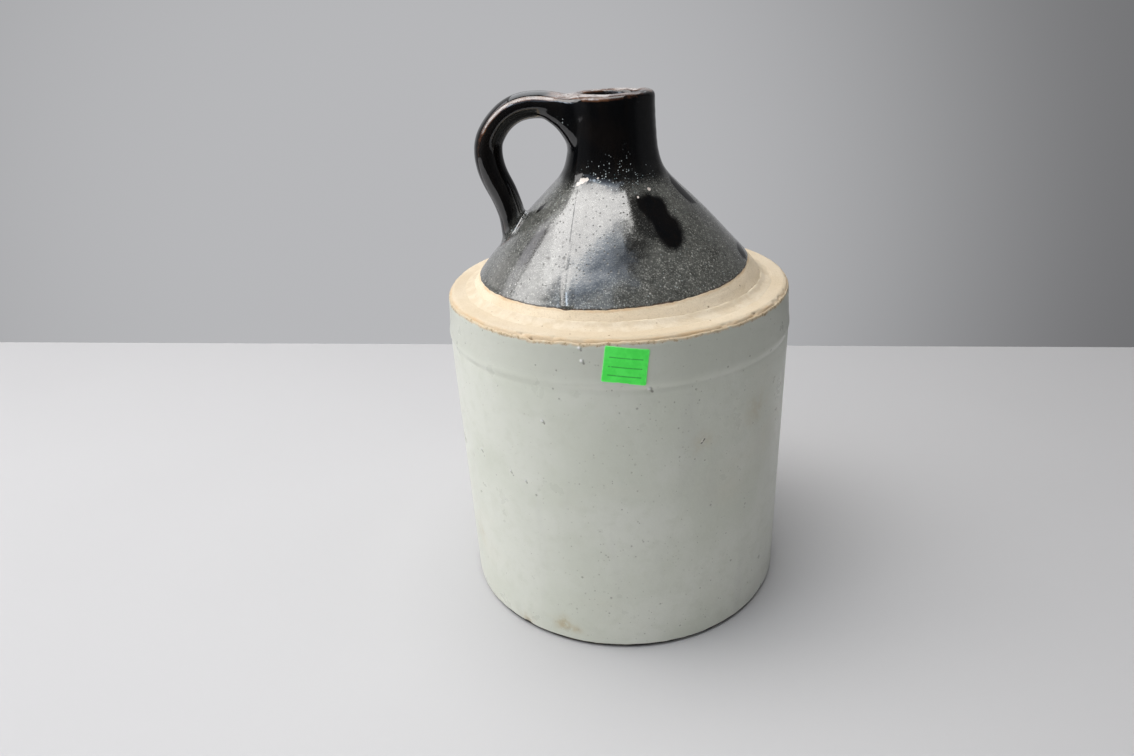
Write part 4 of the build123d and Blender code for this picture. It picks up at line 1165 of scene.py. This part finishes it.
def close_corners(f):
    """Takes in grid points until no square of the grid has its inside points only across a diagonal."""
    for _ in range(30):
        found = 0
        for axis in range(3):
            g = np.moveaxis(f, axis, 0)
            a, b, c, d = g[:, :-1, :-1], g[:, 1:, :-1], g[:, :-1, 1:], g[:, 1:, 1:]
            for p, q, r, t in ((a, d, b, c), (b, c, a, d)):
                bad = (p < 0) & (q < 0) & (r >= 0) & (t >= 0)
                low = bad & (r <= t)
                high = bad & (r > t)
                r[low] = -0.01
                t[high] = -0.01
                found += int(bad.sum())
        if not found:
            break
    return f


def surface_nets(f, origin, h):
    """Closed quad mesh of f = 0, one point in each grid cell that the surface crosses."""
    neg = f < 0
    nx, ny, nz = f.shape
    count = np.zeros((nx - 1, ny - 1, nz - 1), np.int8)
    corners = [(i, j, k) for i in (0, 1) for j in (0, 1) for k in (0, 1)]
    for i, j, k in corners:
        count += neg[i:nx - 1 + i, j:ny - 1 + j, k:nz - 1 + k]
    live = (count > 0) & (count < 8)
    ids = np.full(live.shape, -1, np.int64)
    cells = np.argwhere(live)
    ids[live] = np.arange(len(cells))
    total, hits = np.zeros((len(cells), 3)), np.zeros(len(cells))
    for a in corners:
        for axis in range(3):
            if a[axis]:
                continue
            b = list(a)
            b[axis] = 1
            fa = f[tuple((cells + a).T)]
            fb = f[tuple((cells + b).T)]
            cut = (fa < 0) != (fb < 0)
            t = fa[cut] / (fa[cut] - fb[cut])
            q = np.tile(np.array(a, float), (cut.sum(), 1))
            q[:, axis] = t
            total[cut] += q
            hits[cut] += 1
    verts = (cells + total / hits[:, None]) * h + origin
    faces = []
    for axis in range(3):
        o1, o2 = [(1, 2), (2, 0), (0, 1)][axis]
        lo = [slice(None)] * 3
        hi = [slice(None)] * 3
        lo[axis], hi[axis] = slice(0, -1), slice(1, None)
        a, b = neg[tuple(lo)], neg[tuple(hi)]
        e = np.argwhere(a != b)
        e = e[(e[:, o1] > 0) & (e[:, o2] > 0) & (e[:, o1] < f.shape[o1] - 1) & (e[:, o2] < f.shape[o2] - 1)]
        d1, d2 = np.zeros(3, int), np.zeros(3, int)
        d1[o1], d2[o2] = 1, 1
        q = np.stack([ids[tuple((e - d1 - d2).T)], ids[tuple((e - d2).T)],
                      ids[tuple(e.T)], ids[tuple((e - d1).T)]], -1)
        out = a[tuple(e.T)]
        q[~out] = q[~out][:, ::-1]
        faces.append(q)
    return verts, np.concatenate(faces).tolist()


# ------------------------------------------------------------------ paper label
def build_label():
    w, h, thick = 19.05, 15.9, 0.13
    tilt, a0, z0 = math.radians(-7.9), math.radians(1.95), 156.0
    nu, nv = 64, 54
    line = dense(CLAY_OUT[1:], blur=0.25)
    glaze_r = lambda z: np.interp(z, line[:, 1], line[:, 0]) + 0.45
    u, v = np.meshgrid(np.linspace(-0.5, 0.5, nu), np.linspace(-0.5, 0.5, nv), indexing="ij")
    # rounded corners, and an edge that was not cut quite straight
    cx, cy = np.abs(u) * w - (w / 2 - 0.8), np.abs(v) * h - (h / 2 - 0.8)
    over = np.where((cx > 0) & (cy > 0), np.hypot(cx, cy), 0)
    pull = np.where(over > 0.8, 0.8 / np.maximum(over, 1e-6), 1)
    x = np.where(over > 0.8, np.sign(u) * (w / 2 - 0.8 + cx * pull), u * w)
    y = np.where(over > 0.8, np.sign(v) * (h / 2 - 0.8 + cy * pull), v * h)
    along, up = x * math.cos(tilt) - y * math.sin(tilt), x * math.sin(tilt) + y * math.cos(tilt)
    z = z0 + up
    az = a0 + along / 87.2
    p = place(0 * z + 87.2, z, az)
    base = np.maximum(glaze_r(np.clip(z, 147.5, 165.5)), glaze_r(np.clip(z, 2, 167.0)) + 0.0)
    base = base + 0.06 + 0.17 * noise(p * [1, 1, 0.7], 58, 1) + 0.055 * noise(p, 17, 2)
    # a crease, a bubble, and corners that have begun to lift
    corner = lambda su, sv, reach: np.exp(-(((u - su) * w / reach) ** 2 + ((v - sv) * h / reach) ** 2))
    base = base + 0.42 * corner(0.5, -0.5, 3.6) + 0.22 * corner(-0.5, -0.5, 2.8) + 0.16 * corner(0.5, 0.5, 2.6)
    base = base + 0.05 * np.exp(-((x + 0.35 * y - 3.2) / 0.5) ** 2) + 0.05 * noise(p, 4.2, 101)
    front = place(base + thick, z, az)
    back = place(base, z, az)
    verts = np.concatenate([front.reshape(-1, 3), back.reshape(-1, 3)])
    n = nu * nv
    idx = np.arange(n).reshape(nu, nv)
    f = np.stack([idx[:-1, :-1], idx[1:, :-1], idx[1:, 1:], idx[:-1, 1:]], -1).reshape(-1, 4)
    faces = f.tolist() + (f[:, ::-1] + n).tolist()
    border = np.concatenate([idx[:, 0], idx[-1, 1:], idx[-2::-1, -1], idx[0, -2:0:-1]])
    nxt = np.roll(border, -1)
    faces += np.stack([border + n, nxt + n, nxt, border], -1).tolist()
    uvf = np.stack([(u + 0.5) * 0.48 + 0.01, (v + 0.5) * 0.9 + 0.02], -1).reshape(-1, 2)
    uvb = uvf + [0.5, 0]
    both = np.concatenate([uvf, uvb])
    uv = [both[i] for face in faces[:2 * len(f)] for i in face]
    for k in range(len(border)):
        a, b = k / len(border), (k + 1) / len(border)
        uv += [(a, 0.945), (b, 0.945), (b, 0.985), (a, 0.985)]
    # three plain ruled lines and nothing else
    ruled = np.zeros_like(u)
    for row in (0.20, -0.06, -0.30):
        ruled = np.maximum(ruled, bell((v - row) * h, 0.28) * step(-0.40, -0.37, u) * step(0.40, 0.37, u))
    edge = np.maximum(step(0.44, 0.5, np.abs(u)), step(0.43, 0.5, np.abs(v)))
    return make("paper_label", verts, faces, uv,
                {"ruled": np.r_[ruled.ravel(), 0 * ruled.ravel()], "edge": np.r_[edge.ravel(), edge.ravel()]})


# ------------------------------------------------------------------ put it together
CLAY, DARK = bare_clay("bare_clay", 1.0), dark_glaze("dark_glaze", 1.52)
add("crock_clay", build_crock(), CLAY, "bare_clay", "crock_body")
add("pale_glaze_coat", build_white(), white_glaze(), "white_glaze", "body_glaze")
# the shoulder's clay is the body clay made 1.17 times lighter: painted light on the band, which faces up towards the
# lamps
add("shoulder_clay", build_shoulder_clay(), bare_clay("shoulder_clay", 1.17), "bare_clay", "shoulder_and_neck")
add("dark_glaze_coat", build_dark(), DARK, "dark_glaze", "shoulder_glaze")
add("liner_coat", build_liner(), liner_glaze(), "liner_glaze", "inner_glaze")
add("seam_slip_ring", build_slip(), slip_clay(), "slip_clay", "seam_slip")
add("loop_handle", build_handle(), dark_glaze("handle_glaze", 1.68), "dark_glaze", "handle", "handle_neck_wad", "handle_shoulder_wad")
add("paper_label", build_label(), label_paper(), "label_paper", "price_label")

# ------------------------------------------------------------------ stage (metres)
scene = bpy.context.scene


def slab(name, outline, top, thick, material):
    n = len(outline)
    verts = [(x, y, top) for x, y in outline] + [(x, y, top - thick) for x, y in outline]
    faces = [tuple(range(n)), tuple(range(2 * n - 1, n - 1, -1))]
    faces += [(i + n, (i + 1) % n + n, (i + 1) % n, i) for i in range(n)]
    me = bpy.data.meshes.new(name)
    me.from_pydata(verts, [], faces)
    me.materials.append(material)
    ob = bpy.data.objects.new(name, me)
    scene.collection.objects.link(ob)
    return ob


TOP = table_top()
BACK = lambda x: 0.3065 - 0.09 * x
slab("stage_top", [(-1.3, -0.43), (1.3, -0.43), (1.3, BACK(1.3)), (-1.3, BACK(-1.3))], -0.0002, 0.03, TOP)
front = slab("stage_front", [(-3.0, -3.0), (3.0, -3.0), (3.0, -0.43), (-3.0, -0.43)], -0.0002, 0.03, TOP)
front.visible_glossy = False

# ------------------------------------------------------------------ light
def lamp(name, x0, x1, y0, y1, z, radiance, colour=(1, 1, 1)):
    """Level soft panel over the jug, given by its edges and brightness."""
    data = bpy.data.lights.new(name, "AREA")
    data.shape = "RECTANGLE"
    data.size, data.size_y = x1 - x0, y1 - y0
    data.energy = radiance * math.pi * data.size * data.size_y
    data.color = colour
    ob = bpy.data.objects.new(name, data)
    ob.location = ((x0 + x1) / 2, (y0 + y1) / 2, z)
    ob.visible_camera = False
    scene.collection.objects.link(ob)
    return ob


lamp("panel", -0.60, 0.25, -0.245, 0.345, 1.2, 5.0, (1.0, 0.985, 0.965))
lamp("panel_low", -0.60, -0.02, -0.305, -0.245, 1.2, 5.0, (1.0, 0.985, 0.965))
lamp("panel_lower", -0.60, -0.14, -0.36, -0.305, 1.2, 5.0, (1.0, 0.985, 0.965))
lamp("panel_low_soft", -0.02, 0.14, -0.305, -0.245, 1.2, 2.0, (0.94, 0.96, 1.0))
lamp("panel_lower_soft", -0.14, 0.12, -0.36, -0.305, 1.2, 2.1, (0.90, 0.95, 1.02))
lamp("panel_soft_right", -0.08, 0.14, -0.42, -0.36, 1.2, 1.6, (0.82, 0.92, 1.06))
lamp("panel_mid", -1.0, -0.60, -0.21, 0.345, 1.2, 5.0, (1.0, 0.985, 0.970))
lamp("panel_left", -2.00, -1.0, -0.29, 0.44, 1.2, 1.15, (1.0, 0.985, 0.975))
lamp("panel_soft", -0.60, -0.08, -0.42, -0.36, 1.2, 2.30, (0.82, 0.92, 1.06))
lamp("panel_edge", -1.0, -0.60, -0.36, -0.21, 1.2, 1.10, (0.90, 0.95, 1.04))
lamp("panel_side", -1.5, 0.00, -0.51, -0.42, 1.2, 1.10, (0.72, 0.87, 1.10))
lamp("panel_turn", 0.00, 0.30, -0.51, -0.42, 1.2, 0.60, (0.72, 0.87, 1.10))
lamp("panel_fade", -1.4, -0.05, -0.75, -0.50, 1.2, 0.60, (0.70, 0.86, 1.10))
lamp("panel_rear", -2.6, -0.70, 0.52, 0.95, 1.2, 1.30, (0.97, 0.95, 1.0))
# panels that only show as reflections in the glaze
lamp("panel_gloss", -2.00, -1.0, -0.29, 0.44, 1.195, 2.3, (1.0, 0.985, 0.975)).visible_diffuse = False
lamp("panel_glint", -0.73, -0.57, -0.55, -0.36, 1.19, 6.5, (0.82, 0.94, 1.08)).visible_diffuse = False
lamp("panel_back", -0.65, 0.45, 0.60, 1.90, 1.2, 1.4, (0.94, 0.97, 1.0)).visible_diffuse = False


def soft_fill(name, where, turn, tilt, w, h, radiance):
    """Broad weak light that only lifts the shadows and isn't mirrored in the glaze."""
    ob = lamp(name, -w / 2, w / 2, -h / 2, h / 2, 0.0, radiance)
    ob.matrix_world = (Matrix.Translation(where) @ Matrix.Rotation(math.radians(turn), 4, "Z")
                       @ Matrix.Rotation(math.radians(tilt), 4, "X"))
    ob.visible_glossy = False


soft_fill("fill_front", (-0.98, -1.33, 0.75), -36, 75, 2.0, 1.2, 1.12)
soft_fill("fill_left", (-1.6, -0.25, 0.6), -90, 80, 1.2, 1.0, 1.72)
soft_fill("fill_over", (0.72, 0.10, 1.35), 0, 0, 0.8, 0.7, 1.20)

world = bpy.data.worlds.new("studio")
scene.world = world
world.use_nodes = True
wt = world.node_tree
wt.nodes.clear()
out = wt.nodes.new("ShaderNodeOutputWorld")
bg = wt.nodes.new("ShaderNodeBackground")
wt.links.new(bg.outputs[0], out.inputs[0])
coord = wt.nodes.new("ShaderNodeTexCoord")


def facing(direction, a, b, low, high):
    """Brightness that rises from low to high as the direction turns towards `direction`."""
    d = wt.nodes.new("ShaderNodeVectorMath")
    d.operation = "DOT_PRODUCT"
    wt.links.new(coord.outputs["Generated"], d.inputs[0])
    v = np.array(direction, float)
    d.inputs[1].default_value = tuple(v / np.linalg.norm(v))
    m = wt.nodes.new("ShaderNodeMapRange")
    m.interpolation_type = "SMOOTHSTEP"
    wt.links.new(d.outputs["Value"], m.inputs[0])
    for i, x in enumerate((a, b, low, high)):
        m.inputs[i + 1].default_value = x
    return m.outputs[0]


def total(*values):
    acc = values[0]
    for v in values[1:]:
        n = wt.nodes.new("ShaderNodeMath")
        n.operation = "ADD"
        wt.links.new(acc, n.inputs[0])
        wt.links.new(v, n.inputs[1])
        acc = n.outputs[0]
    return acc


def product(a, b):
    n = wt.nodes.new("ShaderNodeMath")
    n.operation = "MULTIPLY"
    wt.links.new(a, n.inputs[0])
    wt.links.new(b, n.inputs[1])
    return n.outputs[0]


backdrop = total(facing((-0.27, 1, -0.26), 0.66, 0.985, 0.0, 0.295), facing((-0.30, 1, -0.10), 0.15, 0.72, 0.04, 0.185))
level = total(product(backdrop, facing((0.66, 0.75, 0), -0.25, 0.08, 0.55, 1.0)),
              product(facing((-0.15, 0.95, 0.30), 0.80, 0.96, 0.0, 0.30), facing((0, 0, 1), 0.07, 0.20, 0.0, 1.0)),
              facing((-1, 0, 0.12), 0.74, 0.98, 0.0, 0.07), facing((1, 0.1, 0), 0.78, 0.97, 0.0, 0.07))
grey = wt.nodes.new("ShaderNodeMix")
grey.data_type = "RGBA"
grey.inputs[0].default_value = 1.0
grey.blend_type = "MULTIPLY"
grey.inputs[6].default_value = (0.985, 0.99, 1.02, 1)
wt.links.new(level, grey.inputs[7])
wt.links.new(grey.outputs[2], bg.inputs[0])

# ------------------------------------------------------------------ camera
th, psi, rho = 0.4399, -0.0755, -0.0598
fwd0 = np.array([math.sin(psi), math.cos(psi), 0])
right0 = np.array([math.cos(psi), -math.sin(psi), 0])
up0 = np.array([0, 0, 1.0])
fwd = fwd0 * math.cos(th) - up0 * math.sin(th)
up = up0 * math.cos(th) + fwd0 * math.sin(th)
right = right0 * math.cos(rho) + up * math.sin(rho)
up = -right0 * math.sin(rho) + up * math.cos(rho)
cam = bpy.data.cameras.new("camera")
cam.lens, cam.sensor_width, cam.sensor_fit = 24.0, 36.0, "HORIZONTAL"
cam.clip_start, cam.clip_end = 0.01, 50
cam_ob = bpy.data.objects.new("camera", cam)
cam_ob.matrix_world = Matrix([
    (right[0], up[0], -fwd[0], 0.0),
    (right[1], up[1], -fwd[1], -0.374063),
    (right[2], up[2], -fwd[2], 0.286974),
    (0, 0, 0, 1)])
scene.collection.objects.link(cam_ob)
scene.camera = cam_ob
scene.view_settings.view_transform = "Standard"
scene.view_settings.look = "None"
